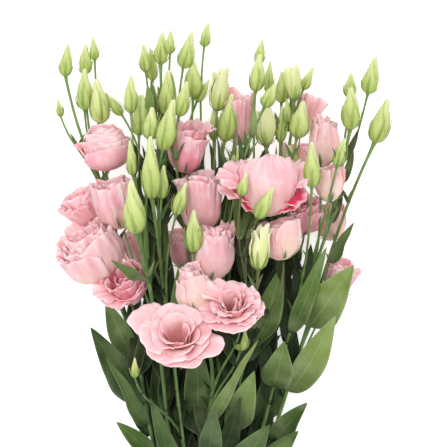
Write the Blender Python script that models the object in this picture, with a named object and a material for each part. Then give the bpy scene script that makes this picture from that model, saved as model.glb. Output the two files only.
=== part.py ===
"""A bunch of twelve cut lisianthus stems, held by a rubber band and lying on a table.

All tables and driving dimensions are in millimetres. x runs across the bunch, y up the stems,
and z up from the table. The last step turns millimetres into metres and puts the origin at the
middle of the bunch's base.
"""

import math
from collections import namedtuple

import bmesh
import bpy
import numpy as np

MM = 0.001

# Driving dimensions, in millimetres
CUT_Y = -60.0  # where the stems are cut
TIE_Y = 50.0  # the middle of the rubber band
STRAIGHT = 16.0  # how far a stem runs straight on each side of the band
CUT_SPLAY = 1.35  # how much wider the cut ends stand than the stems in the band
PITCH = 4.95  # from one stem to the next inside the band
STEM_R = 2.5  # a stem's radius at its cut end
STEM_TOP_R = 1.35  # and where it reaches its flower or bud
STALK_R = 1.45  # a side shoot's radius where it leaves the stem
STALK_TOP_R = 1.05  # and under its flower or bud
GAP = 0.3  # clearance between pieces that touch
NECK = 9.0  # a stem's straight end under its flower
BAND_WIDTH = 6.0
BAND_THICK = 1.2
LEAF_THICK = 0.9
LEAF_BASE_W = 3.2

STEM_SIDES = 6
STALK_SIDES = 5
BLOOM_SIDES = 10

# A flower or bud grows from `at`. Its axis leans to the right and nods towards +z, in degrees.
Head = namedtuple("Head", "kind at lean nod radius length")


def bud(at, lean, length, radius, nod=4.0):
    """A closed bud; `at` is the foot of the bud."""
    return Head("bud", at, lean, nod, radius, length)


def bloom(kind, middle, lean, nod, radius, height):
    """An opening flower; `middle` is the middle of its cup."""
    axis = axis_of(lean, nod)
    foot = tuple(np.array(middle) - axis * height * 0.55)
    return Head(kind, foot, lean, nod, radius, height)


def axis_of(lean, nod):
    a, b = math.radians(lean), math.radians(nod)
    return np.array((math.sin(a) * math.cos(b), math.cos(a) * math.cos(b), math.sin(b)))


# Each stem: its place in the band (half steps across, rows up), the points it grows through, and
# what it ends in.
STEMS = {
    "a": ((-4, 1), [(-58, 207, 36), (-68, 264, 46), (-80, 314, 52)],
          bloom("open", (-107, 368, 82), -28, 20, 23, 42)),
    "b": ((-3, 0), [(-53, 206, 26), (-69, 288, 38), (-82, 346, 48), (-94, 400, 55),
                      (-106, 437, 60), (-120, 472, 62)],
          bud((-130, 514, 62), 3, 27, 4.8)),
    "c": ((-2, 1), [(-43, 207, 42), (-52, 289, 68), (-60, 345, 82)],
          bud((-69, 385, 104), -8, 42, 8.2)),
    "d": ((-3, 2), [(-33, 208, 44), (-42, 290, 54), (-49, 339, 70), (-53, 380, 98)],
          bud((-57, 413, 120), -3, 48, 6.6)),
    "e": ((-1, 0), [(-30, 205, 20), (-38, 287, 30), (-45, 354, 36), (-49, 421, 42), (-51, 479, 46)],
          bud((-52, 525, 48), 3, 27, 5.4)),
    "f": ((0, 1), [(-20, 206, 30), (-23, 288, 46), (-28, 346, 52), (-30, 400, 60)],
          bloom("cup", (-27, 456, 78), 2, 12, 20, 40)),
    "g": ((-1, 2), [(-13, 209, 50), (-10, 250, 56), (-8, 282, 58)],
          bloom("tight", (-25, 341, 104), -8, 10, 12.5, 38)),
    "h": ((1, 2), [(-6, 208, 42), (-4, 290, 48), (-6, 323, 62)],
          bloom("cup", (-7, 368, 84), 4, 8, 15.5, 42)),
    "i": ((2, 1), [(7, 207, 40), (16, 289, 42), (22, 339, 50), (26, 370, 58)],
          bloom("open", (34, 430, 94), 4, 30, 29, 44)),
    "j": ((1, 0), [(17, 205, 20), (32, 287, 28), (43, 354, 30), (49, 413, 34), (55, 454, 42)],
          bud((58, 494, 62), -3, 28, 6.4)),
    "k": ((4, 1), [(29, 206, 32), (51, 288, 44), (67, 338, 48), (84, 379, 50), (94, 421, 50),
                      (101, 453, 60)],
          bud((104, 470, 72), 2, 36, 7.0)),
    "l": ((3, 0), [(39, 206, 24), (64, 288, 34), (82, 346, 40), (97, 392, 44), (111, 429, 48)],
          bud((125, 460, 54), 19, 37, 7.4)),
}

# Side shoots: the stem, the y where they leave it, and what they end in.
SHOOTS = [
    ("a", 250, bloom("open", (-80, 342, 98), -20, 42, 19, 34)),
    ("a", 304, bloom("open", (-115, 407, 60), -30, 15, 16, 34)),
    ("b", 425, bud((-134, 481, 58), -8, 15, 2.4)),
    ("b", 405, bud((-115, 487, 76), 0, 33, 6.2)),
    ("b", 418, bud((-115, 517, 46), 0, 26, 4.8)),
    ("b", 395, bud((-107, 529, 40), -3, 19, 3.4)),
    ("b", 375, bud((-101, 476, 80), -5, 36, 8.0)),
    ("b", 340, bloom("cup", (-99, 456, 84), -10, 8, 21, 40)),
    ("c", 300, bloom("cup", (-86, 411, 76), -12, 10, 18, 42)),
    ("c", 345, bud((-73, 432, 98), -3, 28, 4.0)),
    ("c", 338, bud((-75, 483, 78), -2, 30, 5.6)),
    ("c", 330, bud((-84, 483, 66), -38, 24, 3.6)),
    ("c", 322, bud((-70, 466, 54), 0, 33, 5.0)),
    ("c", 350, bud((-62, 472, 84), -8, 26, 4.0)),
    ("c", 250, bloom("open", (-77, 372, 18), -15, 12, 15, 34)),
    ("d", 345, bud((-50, 413, 104), 6, 28, 4.2)),
    ("d", 335, bud((-49, 452, 104), 11, 43, 6.8)),
    ("d", 350, bud((-59, 461, 96), 4, 26, 6.0)),
    ("d", 312, bud((-38, 400, 112), 16, 27, 4.8)),
    ("d", 180, bloom("wide", (-41, 302, 104), -5, 50, 34, 38)),
    ("d", 215, bud((-72, 268, 92), 2, 16, 2.8)),
    ("e", 425, bud((-64, 518, 56), -3, 24, 4.2)),
    ("e", 440, bud((-59, 512, 36), -2, 28, 3.8)),
    ("e", 445, bud((-44, 533, 58), 0, 19, 3.6)),
    ("e", 400, bud((-46, 482, 66), 0, 38, 6.4)),
    ("e", 300, bloom("open", (-34, 370, 18), 0, 12, 15, 34)),
    ("f", 380, bud((-33, 521, 70), 15, 30, 5.8)),
    ("f", 370, bud((-25, 497, 84), 2, 31, 6.6)),
    ("f", 385, bud((-22, 494, 66), 30, 22, 3.4)),
    ("f", 365, bud((-36, 480, 96), 15, 29, 5.4)),
    ("f", 310, bloom("cup", (-14, 408, 78), 8, 12, 21, 42)),
    ("g", 250, bloom("open", (11, 322, 100), -10, 46, 22, 36)),
    ("g", 240, bud((14, 289, 72), 5, 20, 5.4)),
    ("h", 290, bud((-24, 370, 101), -1, 34, 6.4)),
    ("h", 280, bud((-5, 486, 60), 6, 36, 7.6)),
    ("h", 300, bud((1, 461, 66), 9, 38, 6.8)),
    ("h", 270, bud((-8, 462, 46), 2, 30, 3.8)),
    ("h", 260, bud((-16, 540, 42), 8, 20, 3.8)),
    ("h", 310, bud((8, 437, 62), 12, 20, 5.0)),
    ("i", 300, bud((27, 397, 130), 26, 27, 5.0)),
    ("i", 310, bud((14, 415, 126), 12, 18, 3.6)),
    ("i", 280, bud((28, 356, 116), 3, 36, 7.4)),
    ("i", 255, bloom("cup", (46, 382, 106), -8, 8, 16, 34)),
    ("h", 235, bud((26, 500, 98), 7, 32, 5.6)),
    ("i", 345, bud((29, 525, 54), 9, 21, 3.8)),
    ("h", 228, bud((33, 487, 104), 27, 22, 4.8)),
    ("j", 400, bud((48, 493, 50), 3, 26, 5.2)),
    ("j", 410, bud((66, 504, 42), 24, 20, 3.6)),
    ("j", 330, bud((35, 457, 62), -3, 30, 7.6)),
    ("j", 380, bud((47, 460, 56), 5, 30, 4.0)),
    ("j", 370, bud((60, 463, 78), 12, 30, 7.0)),
    ("j", 360, bud((57, 440, 60), -8, 18, 4.8)),
    ("j", 340, bloom("cup", (15, 482, 40), 3, 2, 13, 44)),
    ("j", 350, bloom("cup", (67, 486, 34), 8, 2, 13, 34)),
    ("j", 290, bloom("open", (68, 402, 46), 0, 30, 16, 34)),
    ("k", 405, bud((104, 497, 54), 4, 21, 4.6)),
    ("k", 385, bud((119, 500, 60), 12, 30, 6.2)),
    ("k", 322, bud((92, 439, 88), 14, 23, 4.6)),
    ("k", 300, bud((71, 422, 116), 2, 36, 6.0)),
    ("k", 352, bloom("tight", (82, 462, 80), 4, 5, 13.5, 42)),
    ("k", 312, bloom("cup", (86, 427, 78), -3, 5, 13, 30)),
    ("j", 330, bloom("cup", (61, 446, 28), 0, 5, 13, 32)),
    ("l", 280, bloom("open", (90, 396, 24), -12, 10, 14, 32)),
    ("l", 240, bloom("open", (98, 350, 30), 25, 10, 15, 34)),
]

# Leaves: the stem, the y of the leaf's foot, its tip, its width and its roll about the midrib.
LEAVES = [
    ("l", 308, (106, 359, 92), 31, 8),
    ("l", 254, (92, 318, 78), 26, -12),
    ("k", 303, (84, 374, 88), 14, 10),
    ("i", 290, (50, 360, 104), 22, -8),
    ("l", 362, (108, 394, 58), 10, 40),
    ("k", 258, (49, 298, 108), 25, 0),
    ("i", 222, (25, 274, 104), 23, 6),
    ("g", 232, (28, 300, 122), 10, 50),
    ("l", 212, (69, 246, 72), 18, 20),
    ("a", 243, (-108, 309, 92), 24, -10),
    ("a", 284, (-97, 330, 62), 19, 0),
    ("a", 226, (-95, 284, 90), 13, -48),
    ("a", 202, (-88, 230, 66), 15, -15),
    ("g", 203, (-7, 246, 118), 18, 0),
    ("i", 186, (38, 230, 92), 25, 10),
    ("c", 348, (-88, 364, 118), 9, 20),
    ("d", 300, (-35, 362, 116), 12, -10),
    ("d", 170, (-60, 252, 90), 20, -20),
    ("j", 225, (52, 290, 44), 24, 0),
    ("f", 232, (-22, 300, 66), 22, 0),
    ("e", 215, (-58, 280, 34), 24, 0),
    ("h", 196, (14, 252, 96), 16, -10),
    ("k", 190, (62, 222, 54), 18, 0),
]

# Outlines as (share of the length, share of the radius) from the foot to the rim.
BUD_OUTLINE = [(0.06, 0.6), (0.22, 0.96), (0.42, 0.98), (0.72, 0.54)]
BLOOM_OUTLINES = {
    "cup": [(0.07, 0.34), (0.25, 0.74), (0.5, 0.95), (0.75, 0.98), (0.95, 0.9)],
    "open": [(0.08, 0.26), (0.3, 0.6), (0.55, 0.84), (0.8, 1.0), (0.94, 0.94)],
    "wide": [(0.08, 0.16), (0.3, 0.42), (0.55, 0.74), (0.78, 1.0), (0.92, 0.98)],
    "tight": [(0.07, 0.45), (0.25, 0.9), (0.5, 1.0), (0.78, 0.82), (0.96, 0.56)],
}
BLOOM_HOLLOW = {"cup": 0.8, "open": 0.78, "wide": 0.66, "tight": 0.92}
BLOOM_FOOT_R = 1.8

# How the pieces are eased apart in height
EASE_PASSES = 3
EASE_ROUNDS = 500
EASE_SPRING = 0.9995  # draws every piece back towards its place in the tables
STIFFNESS = 0.01  # keeps a stem from zigzagging
EASE_CLEAR = 0.7  # clearance asked for, above GAP because the solids are faceted
EASE_REACH = 40.0  # how far a free height may move
LEAF_JUNCTION = 9.0  # length of a leaf that may come close to its own stem
LEAF_BALL = 1.3


def unit(v):
    return v / np.linalg.norm(v)


BAND_POINTS = 3  # every stem's first points, where it keeps parallel to its neighbours


def along_y(ys, at):
    """Weights that turn values at the heights `ys` into a smooth line's values at `at`."""
    ys, at = np.asarray(ys, float), np.asarray(at, float)
    n = len(ys)
    slopes = np.zeros((n, n))
    for i in range(BAND_POINTS, n):
        a, b = max(i - 1, 0), min(i + 1, n - 1)
        slopes[i, b] += 1 / (ys[b] - ys[a])
        slopes[i, a] -= 1 / (ys[b] - ys[a])
    k = np.clip(np.searchsorted(ys, at, "right") - 1, 0, n - 2)
    h = ys[k + 1] - ys[k]
    t = (at - ys[k]) / h
    keep = np.eye(n)
    return (
        (2 * t**3 - 3 * t**2 + 1)[:, None] * keep[k]
        + ((t**3 - 2 * t**2 + t) * h)[:, None] * slopes[k]
        + (3 * t**2 - 2 * t**3)[:, None] * keep[k + 1]
        + ((t**3 - t**2) * h)[:, None] * slopes[k + 1]
    )


def bezier(t):
    t = np.asarray(t, float)[:, None]
    return np.hstack([(1 - t) ** 3, 3 * t * (1 - t) ** 2, 3 * t**2 * (1 - t), t**3])


class Line:
    """Control points, and how far each one rises with each free height."""

    def __init__(self, points, shares):
        self.points = np.array(points, float)
        self.shares = np.array(shares, float)


class Bunch:
    """Every line of the bunch, with its free heights raised by the amounts in `raised`."""

    def __init__(self, raised):
        self.raised = raised
        self.used = 0
        self.stem_heights = []
        self.stems = {name: self.stem_line(*row) for name, row in STEMS.items()}
        self.shoots = [self.shoot_line(*row) for row in SHOOTS]
        self.leaves = [self.leaf_line(*row) for row in LEAVES]

    def lift(self, point):
        """The point at its raised height, and its share of the free heights."""
        share = np.zeros(len(self.raised))
        share[self.used] = 1
        lifted = np.array(point, float) + (0, 0, self.raised[self.used])
        self.used += 1
        return lifted, share

    def stem_line(self, foot, through, head):
        x, z = in_band(foot)
        points = [(x * CUT_SPLAY, CUT_Y, z), (x, TIE_Y - STRAIGHT, z), (x, TIE_Y + STRAIGHT, z)]
        shares = [np.zeros(len(self.raised)) for _ in points]
        for point in through:
            point, share = self.lift(point)
            points.append(point)
            shares.append(share)
        end, share = self.lift(stalk_end(head))
        if head.kind != "bud":
            points.append(end - axis_of(head.lean, head.nod) * NECK)
            shares.append(share)
        points.append(end)
        shares.append(share)
        self.stem_heights.append(slice(self.used - len(through) - 1, self.used))
        return Line(points, shares)

    def on_stem(self, name, y):
        line = self.stems[name]
        weights = along_y(line.points[:, 1], [y - 1, y, y + 1])
        points = weights @ line.points
        return points[1], unit(points[2] - points[0]), (weights @ line.shares)[1]

    def shoot_line(self, name, y, head):
        start, direction, share = self.on_stem(name, y)
        end, top = self.lift(stalk_end(head))
        reach = np.linalg.norm(end - start)
        lean_out = unit(direction + 0.35 * unit(end - start))
        points = [
            start,
            start + lean_out * reach * 0.4,
            end - axis_of(head.lean, head.nod) * reach * 0.3,
            end,
        ]
        return Line(points, [share, share, top, top])

    def leaf_line(self, name, y, tip, width, roll):
        centre, direction, share = self.on_stem(name, y)
        tip, top = self.lift(tip)
        out = tip - centre
        out = unit(out - direction * (out @ direction))
        start = centre + out * (stem_radius(y) + GAP + LEAF_THICK / 2)
        reach = np.linalg.norm(tip - start)
        points = [
            start,
            start + unit(direction + 0.9 * out) * reach * 0.36,
            tip - unit(tip - start + np.array((0, 0, -0.25 * reach))) * reach * 0.3,
            tip,
        ]
        line = Line(points, [share, 0.6 * share + 0.4 * top, top, top])
        line.out = out
        return line


def in_band(foot):
    """A stem's x and z inside the band, where the stems nest like stacked pipes."""
    across, row = foot
    radius = stem_radius(TIE_Y)
    return across * PITCH / 2, BAND_THICK + GAP + radius + 0.1 + row * PITCH * math.sqrt(0.75)


def stalk_end(head):
    """Where the stalk stops: in a bud's foot, or just short of a flower's."""
    back = 0.0 if head.kind == "bud" else GAP
    return np.array(head.at, float) - axis_of(head.lean, head.nod) * back


def stem_radius(y):
    t = np.clip((y - CUT_Y) / (520 - CUT_Y), 0, 1)
    return STEM_R + (STEM_TOP_R - STEM_R) * t


def leaf_outline(t, width):
    """Half the width of a leaf at a share t of its length: broad low down, drawn out to a point."""
    swell = np.sin(np.pi * np.clip(t, 0, 1) ** 0.72) ** 0.85
    return LEAF_BASE_W / 2 * (1 - t) + (width / 2 - LEAF_BASE_W / 4) * swell


def leaf_grid(control, out, width, roll, stations, across):
    """Points of a leaf's blade, (stations, across, 3), and its normals.

    The blade faces away from its stem at the foot and turns to face up or down the table.
    """
    t = np.linspace(0, 1, stations)
    middle = bezier(t) @ control
    along = np.gradient(middle, axis=0)
    along /= np.linalg.norm(along, axis=1)[:, None]
    turned = np.clip(t * 2.5, 0, 1)[:, None]
    up = np.array((0, 0, 1.0 if out[2] > -0.2 else -1.0))
    side = np.cross(along, out * (1 - turned) + up * turned)
    side /= np.linalg.norm(side, axis=1)[:, None]
    face = np.cross(side, along)
    turn = math.radians(roll) * turned
    side, face = (
        side * np.cos(turn) + face * np.sin(turn),
        face * np.cos(turn) - side * np.sin(turn),
    )
    half = leaf_outline(t, width)
    half[-1] = 0
    u = np.linspace(-1, 1, across)
    spread = half[:, None, None] * u[None, :, None] * side[:, None, :]
    cupped = 0.2 * half[:, None, None] * np.abs(u)[None, :, None] ** 1.5 * face[:, None, :]
    normals = np.repeat(face[:, None, :], across, axis=1)
    return middle[:, None, :] + spread + cupped, normals


# --- easing the pieces apart in height -------------------------------------------------


def smoothed(values):
    """Each value drawn to the middle of its neighbours; the stem's foot stays at zero."""
    padded = np.concatenate([[0.0], values, [2 * values[-1] - values[-2]]])
    return (padded[:-2] + padded[2:]) / 2


def head_samples(head):
    """Balls that fill a flower or bud, as offsets from its foot and radii."""
    axis = axis_of(head.lean, head.nod)
    side = unit(np.cross(axis, (0.3, 0.1, 1.0)))
    other = np.cross(axis, side)
    outline = BUD_OUTLINE if head.kind == "bud" else BLOOM_OUTLINES[head.kind]
    offsets, radii = [], []
    for share, width in outline:
        ring = width * head.radius
        ball = ring if head.kind == "bud" else min(ring, max(0.3 * head.radius, 3.0))
        offsets.append(axis * share * head.length)
        radii.append(ball)
        if ring - ball > 1:
            for angle in np.arange(10) * math.tau / 10:
                out = side * math.cos(angle) + other * math.sin(angle)
                offsets.append(axis * share * head.length + out * (ring - ball))
                radii.append(ball)
    return np.array(offsets), np.array(radii)


def ease_apart(bunch):
    """The raised heights at which pieces part. Each piece keeps its side of its neighbours."""
    points, radii, shares, piece, family, rooted = [], [], [], [], [], []

    def add(number, stem, at, radius, share, close):
        points.append(at)
        radii.append(np.broadcast_to(radius, len(at)))
        shares.append(np.broadcast_to(share, (len(at), len(bunch.raised))))
        piece.append(np.full(len(at), number))
        family.append(np.full(len(at), list(STEMS).index(stem)))
        rooted.append(np.broadcast_to(close, len(at)))

    def add_head(number, stem, head, line):
        offsets, ball = head_samples(head)
        add(number, stem, line.points[-1] + offsets, ball, line.shares[-1], False)

    number = 0
    for name, (_, _, head) in STEMS.items():
        line = bunch.stems[name]
        ys = np.arange(CUT_Y, line.points[-1, 1], 3.0)
        weights = along_y(line.points[:, 1], ys)
        add(number, name, weights @ line.points, stem_radius(ys), weights @ line.shares, True)
        add_head(number, name, head, line)
        number += 1
    for (name, _, head), line in zip(SHOOTS, bunch.shoots):
        reach = np.linalg.norm(line.points[-1] - line.points[0])
        t = np.linspace(0, 1, max(int(reach / 3), 6))
        weights = bezier(t)
        add(number, name, weights @ line.points, STALK_R, weights @ line.shares, True)
        add_head(number, name, head, line)
        number += 1
    for (name, _, tip, width, roll), line in zip(LEAVES, bunch.leaves):
        reach = np.linalg.norm(line.points[-1] - line.points[0])
        stations, across = max(int(reach / 3), 8), max(int(width / 3.5), 2) | 1
        grid, _ = leaf_grid(line.points, line.out, width, roll, stations, across)
        weights = bezier(np.linspace(0, 1, stations)) @ line.shares
        along = np.repeat(np.linspace(0, reach, stations), across)
        shared = np.repeat(weights, across, axis=0)
        add(number, name, grid.reshape(-1, 3), LEAF_BALL, shared, along < LEAF_JUNCTION)
        number += 1

    points, radii = np.vstack(points), np.concatenate(radii)
    shares, piece = np.vstack(shares), np.concatenate(piece)
    family, rooted = np.concatenate(family), np.concatenate(rooted)
    first, second = touching_pairs(points, radii, piece, family, rooted)
    side = side_of_pairs(points, piece, first, second)
    pull = ((shares[first] - shares[second]) ** 2).sum(1)
    parts = pull > 0.12  # the others ride on the same stem and cannot part
    first, second, side, pull = first[parts], second[parts], side[parts], pull[parts]
    flat = np.hypot(*(points[first, :2] - points[second, :2]).T)
    need = np.sqrt((radii[first] + radii[second] + EASE_CLEAR) ** 2 - flat**2)

    free = np.zeros(len(bunch.raised))
    weight = (shares**2).sum(1)
    pull = np.maximum(pull, 0.5)
    for _ in range(EASE_ROUNDS):
        height = points[:, 2] + shares @ free
        short = need - side * (height[first] - height[second])
        active = short > 0
        push = np.zeros(len(points))
        count = np.zeros(len(points))
        for ends, sign in ((first, 1.0), (second, -1.0)):
            np.add.at(push, ends[active], sign * (side * short / pull)[active])
            np.add.at(count, ends[active], 1.0)
        low = radii + 0.2 - height
        sunk = (low > 0) & (weight > 0.05)
        push[sunk] += low[sunk] / np.maximum(weight[sunk], 0.6)
        count[sunk] += 1
        free += 1.2 * (shares.T @ push) / (np.abs(shares).T @ count + 1.0)
        raised = (bunch.raised + free) * EASE_SPRING
        for ends in bunch.stem_heights:
            raised[ends] += STIFFNESS * (smoothed(raised[ends]) - raised[ends])
        free = np.clip(raised, -EASE_REACH, EASE_REACH) - bunch.raised
    return bunch.raised + free


def touching_pairs(points, radii, piece, family, rooted):
    """Index pairs of balls of different pieces that meet when seen from above."""
    order = np.argsort(points[:, 0])
    xs = points[order, 0]
    widest = radii.max() * 2 + EASE_CLEAR
    firsts, seconds = [], []
    for place, i in enumerate(order):
        end = np.searchsorted(xs, xs[place] + widest, "right")
        others = order[place + 1 : end]
        flat = np.hypot(points[others, 0] - points[i, 0], points[others, 1] - points[i, 1])
        meets = flat < radii[others] + radii[i] + EASE_CLEAR
        kin = (family[others] == family[i]) & rooted[others] & rooted[i]
        hits = others[meets & (piece[others] != piece[i]) & ~kin]
        firsts.append(np.full(len(hits), i))
        seconds.append(hits)
    return np.concatenate(firsts), np.concatenate(seconds)


def side_of_pairs(points, piece, first, second):
    """+1 where the first ball's piece lies above the second's, judged over all their meetings."""
    low, high = np.minimum(piece[first], piece[second]), np.maximum(piece[first], piece[second])
    key = low * (piece.max() + 1) + high
    above = np.where(piece[first] == low, 1.0, -1.0) * (points[first, 2] - points[second, 2])
    keys, index = np.unique(key, return_inverse=True)
    total = np.bincount(index, above, len(keys))
    verdict = np.where(total >= 0, 1.0, -1.0)[index]
    return np.where(piece[first] == low, verdict, -verdict)


# --- solids ------------------------------------------------------------------------------


def new_object(name, verts, faces, helper=False):
    mesh = bpy.data.meshes.new(name)
    mesh.from_pydata([tuple(float(c) * MM for c in v) for v in verts], [], faces)
    work = bmesh.new()
    work.from_mesh(mesh)
    bmesh.ops.recalc_face_normals(work, faces=work.faces)
    work.to_mesh(mesh)
    work.free()
    mesh.shade_smooth()
    obj = bpy.data.objects.new(name, mesh)
    bpy.context.scene.collection.objects.link(obj)
    if helper:
        obj.hide_render = True
        obj.display_type = "WIRE"
    return obj


def frames_along(centres):
    """Side vectors that turn as little as possible along a line."""
    along = np.gradient(centres, axis=0)
    along /= np.linalg.norm(along, axis=1)[:, None]
    side = unit(np.cross(along[0], (0.2, 0.1, 1.0)))
    sides = []
    for direction in along:
        side = unit(side - direction * (side @ direction))
        sides.append(side)
    return np.array(sides), np.cross(along, sides)


def tube(centres, radii, sides, pointed=False):
    """Vertices and faces of a closed tube. A pointed one ends in its last centre."""
    centres = np.array(centres)
    one, two = frames_along(centres)
    rings = len(centres) - 1 if pointed else len(centres)
    angles = np.arange(sides) * math.tau / sides
    verts = [
        centres[i] + radii[i] * (one[i] * math.cos(a) + two[i] * math.sin(a))
        for i in range(rings)
        for a in angles
    ]
    faces = [
        (i * sides + j, i * sides + (j + 1) % sides, (i + 1) * sides + (j + 1) % sides, (i + 1) * sides + j)
        for i in range(rings - 1)
        for j in range(sides)
    ]
    faces.append(tuple(range(sides))[::-1])
    last = (rings - 1) * sides
    if pointed:
        verts.append(centres[-1])
        faces += [(last + j, last + (j + 1) % sides, len(verts) - 1) for j in range(sides)]
    else:
        faces.append(tuple(last + j for j in range(sides)))
    return verts, faces


def with_bud(centres, radii, head):
    """The stalk's centres and radii, carried on through a bud to its point."""
    axis = axis_of(head.lean, head.nod)
    foot = centres[-1]
    centres = [*centres, *(foot + axis * head.length * share for share, _ in BUD_OUTLINE)]
    radii = [*radii, *(head.radius * width for _, width in BUD_OUTLINE)]
    return [*centres, foot + axis * head.length], [*radii, 0.0]


def stem_solid(name, line, head):
    neck = line[-2 if head.kind != "bud" else -1, 1]
    ys = [CUT_Y, TIE_Y - STRAIGHT, TIE_Y + STRAIGHT]
    ys += list(np.linspace(ys[-1], neck, 2 + int((neck - ys[-1]) / 26))[1:])
    ys = np.unique([*ys, line[-1, 1]])
    centres = along_y(line[:, 1], ys) @ line
    radii = stem_radius(ys)
    pointed = head.kind == "bud"
    if pointed:
        centres, radii = with_bud(centres, radii, head)
    return new_object(f"stem_{name}", *tube(centres, radii, STEM_SIDES, pointed))


def shoot_solid(number, line, head):
    reach = np.linalg.norm(line[-1] - line[0])
    t = np.linspace(0, 1, 4 + int(reach / 40))
    centres = bezier(t) @ line
    radii = STALK_R + (STALK_TOP_R - STALK_R) * t
    pointed = head.kind == "bud"
    if pointed:
        centres, radii = with_bud(centres, radii, head)
    return new_object(f"shoot_{number}", *tube(centres, radii, STALK_SIDES, pointed), helper=True)


def join(stem, shoot):
    union = stem.modifiers.new(shoot.name, "BOOLEAN")
    union.operation = "UNION"
    union.solver = "EXACT"
    union.object = shoot


def bloom_solid(name, foot, head):
    """A flower's outer shape: a turned cup with a shallow hollow."""
    axis = axis_of(head.lean, head.nod)
    outline = [(0.0, BLOOM_FOOT_R / head.radius), *BLOOM_OUTLINES[head.kind]]
    centres = [foot + axis * head.length * share for share, _ in outline]
    radii = [head.radius * width for _, width in outline]
    centres.append(foot + axis * head.length * BLOOM_HOLLOW[head.kind])
    side = unit(np.cross(axis, (0.2, 0.1, 1.0)))
    other = np.cross(axis, side)
    angles = np.arange(BLOOM_SIDES) * math.tau / BLOOM_SIDES
    verts = [
        c + r * (side * math.cos(a) + other * math.sin(a))
        for c, r in zip(centres, radii)
        for a in angles
    ]
    verts.append(centres[-1])
    n = BLOOM_SIDES
    faces = [
        (i * n + j, i * n + (j + 1) % n, (i + 1) * n + (j + 1) % n, (i + 1) * n + j)
        for i in range(len(radii) - 1)
        for j in range(n)
    ]
    faces.append(tuple(range(n)))
    last = (len(radii) - 1) * n
    faces += [(last + j, last + (j + 1) % n, len(verts) - 1) for j in range(n)]
    return new_object(name, verts, faces)


def leaf_solid(name, control, out, width, roll):
    stations, across = (8, 5) if width > 14 else (7, 3)
    grid, normals = leaf_grid(control, out, width, roll, stations, across)
    thick = LEAF_THICK / 2 * np.linspace(1.0, 0.7, stations)[:, None, None]
    top, under = grid + normals * thick, grid - normals * thick
    verts = [*top[:-1].reshape(-1, 3), *under[:-1].reshape(-1, 3)]
    half = (stations - 1) * across
    tip = len(verts)
    verts.append(grid[-1, across // 2])
    faces = []
    for i in range(stations - 2):
        for j in range(across - 1):
            a = i * across + j
            faces.append((a, a + 1, a + across + 1, a + across))
            faces.append((half + a, half + a + across, half + a + across + 1, half + a + 1))
        for j in (0, across - 1):
            a = i * across + j
            faces.append((a, a + across, half + a + across, half + a))
    last = (stations - 2) * across
    for j in range(across - 1):
        faces.append((j, j + 1, half + j + 1, half + j))
        faces.append((last + j, last + j + 1, tip))
        faces.append((half + last + j, tip, half + last + j + 1))
    for j in (0, across - 1):
        faces.append((last + j, tip, half + last + j))
    return new_object(name, verts, faces)


def band_solid():
    """The rubber band: a flat ring stretched round the outermost stems."""
    feet = np.array([in_band(foot) for foot, _, _ in STEMS.values()])
    radius = stem_radius(TIE_Y) + GAP

    def outline(reach):
        angles = (np.arange(40) + 0.5) * math.tau / 40
        ways = np.stack([np.cos(angles), np.sin(angles)], 1)
        outermost = feet[np.argmax(ways @ feet.T, axis=1)]
        return outermost + ways * reach

    rings = []
    for reach, y in (
        (radius, TIE_Y - BAND_WIDTH / 2),
        (radius + BAND_THICK, TIE_Y - BAND_WIDTH / 2),
        (radius + BAND_THICK, TIE_Y + BAND_WIDTH / 2),
        (radius, TIE_Y + BAND_WIDTH / 2),
    ):
        rings.append([(x, y, z) for x, z in outline(reach)])
    n = len(rings[0])
    verts = [v for ring in rings for v in ring]
    faces = [
        (i * n + j, i * n + (j + 1) % n, (i + 1) % 4 * n + (j + 1) % n, (i + 1) % 4 * n + j)
        for i in range(4)
        for j in range(n)
    ]
    return new_object("rubber_band", verts, faces)


def material(name, colour, roughness):
    made = bpy.data.materials.new(name)
    made.use_nodes = True
    shader = made.node_tree.nodes["Principled BSDF"]
    shader.inputs["Base Color"].default_value = (*colour, 1)
    shader.inputs["Roughness"].default_value = roughness
    shader.inputs["Metallic"].default_value = 0
    return made


def centre_on_base(objects):
    """Moves the bunch so that the middle of its base is at the origin."""
    graph = bpy.context.evaluated_depsgraph_get()
    corners = []
    for obj in objects:
        mesh = obj.evaluated_get(graph).to_mesh()
        spots = np.empty(len(mesh.vertices) * 3, np.float32)
        mesh.vertices.foreach_get("co", spots)
        corners += [spots.reshape(-1, 3).min(0), spots.reshape(-1, 3).max(0)]
    low, high = np.min(corners, axis=0), np.max(corners, axis=0)
    for obj in bpy.data.objects:
        obj.location = (-(low[0] + high[0]) / 2, -(low[1] + high[1]) / 2, -low[2])


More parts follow.
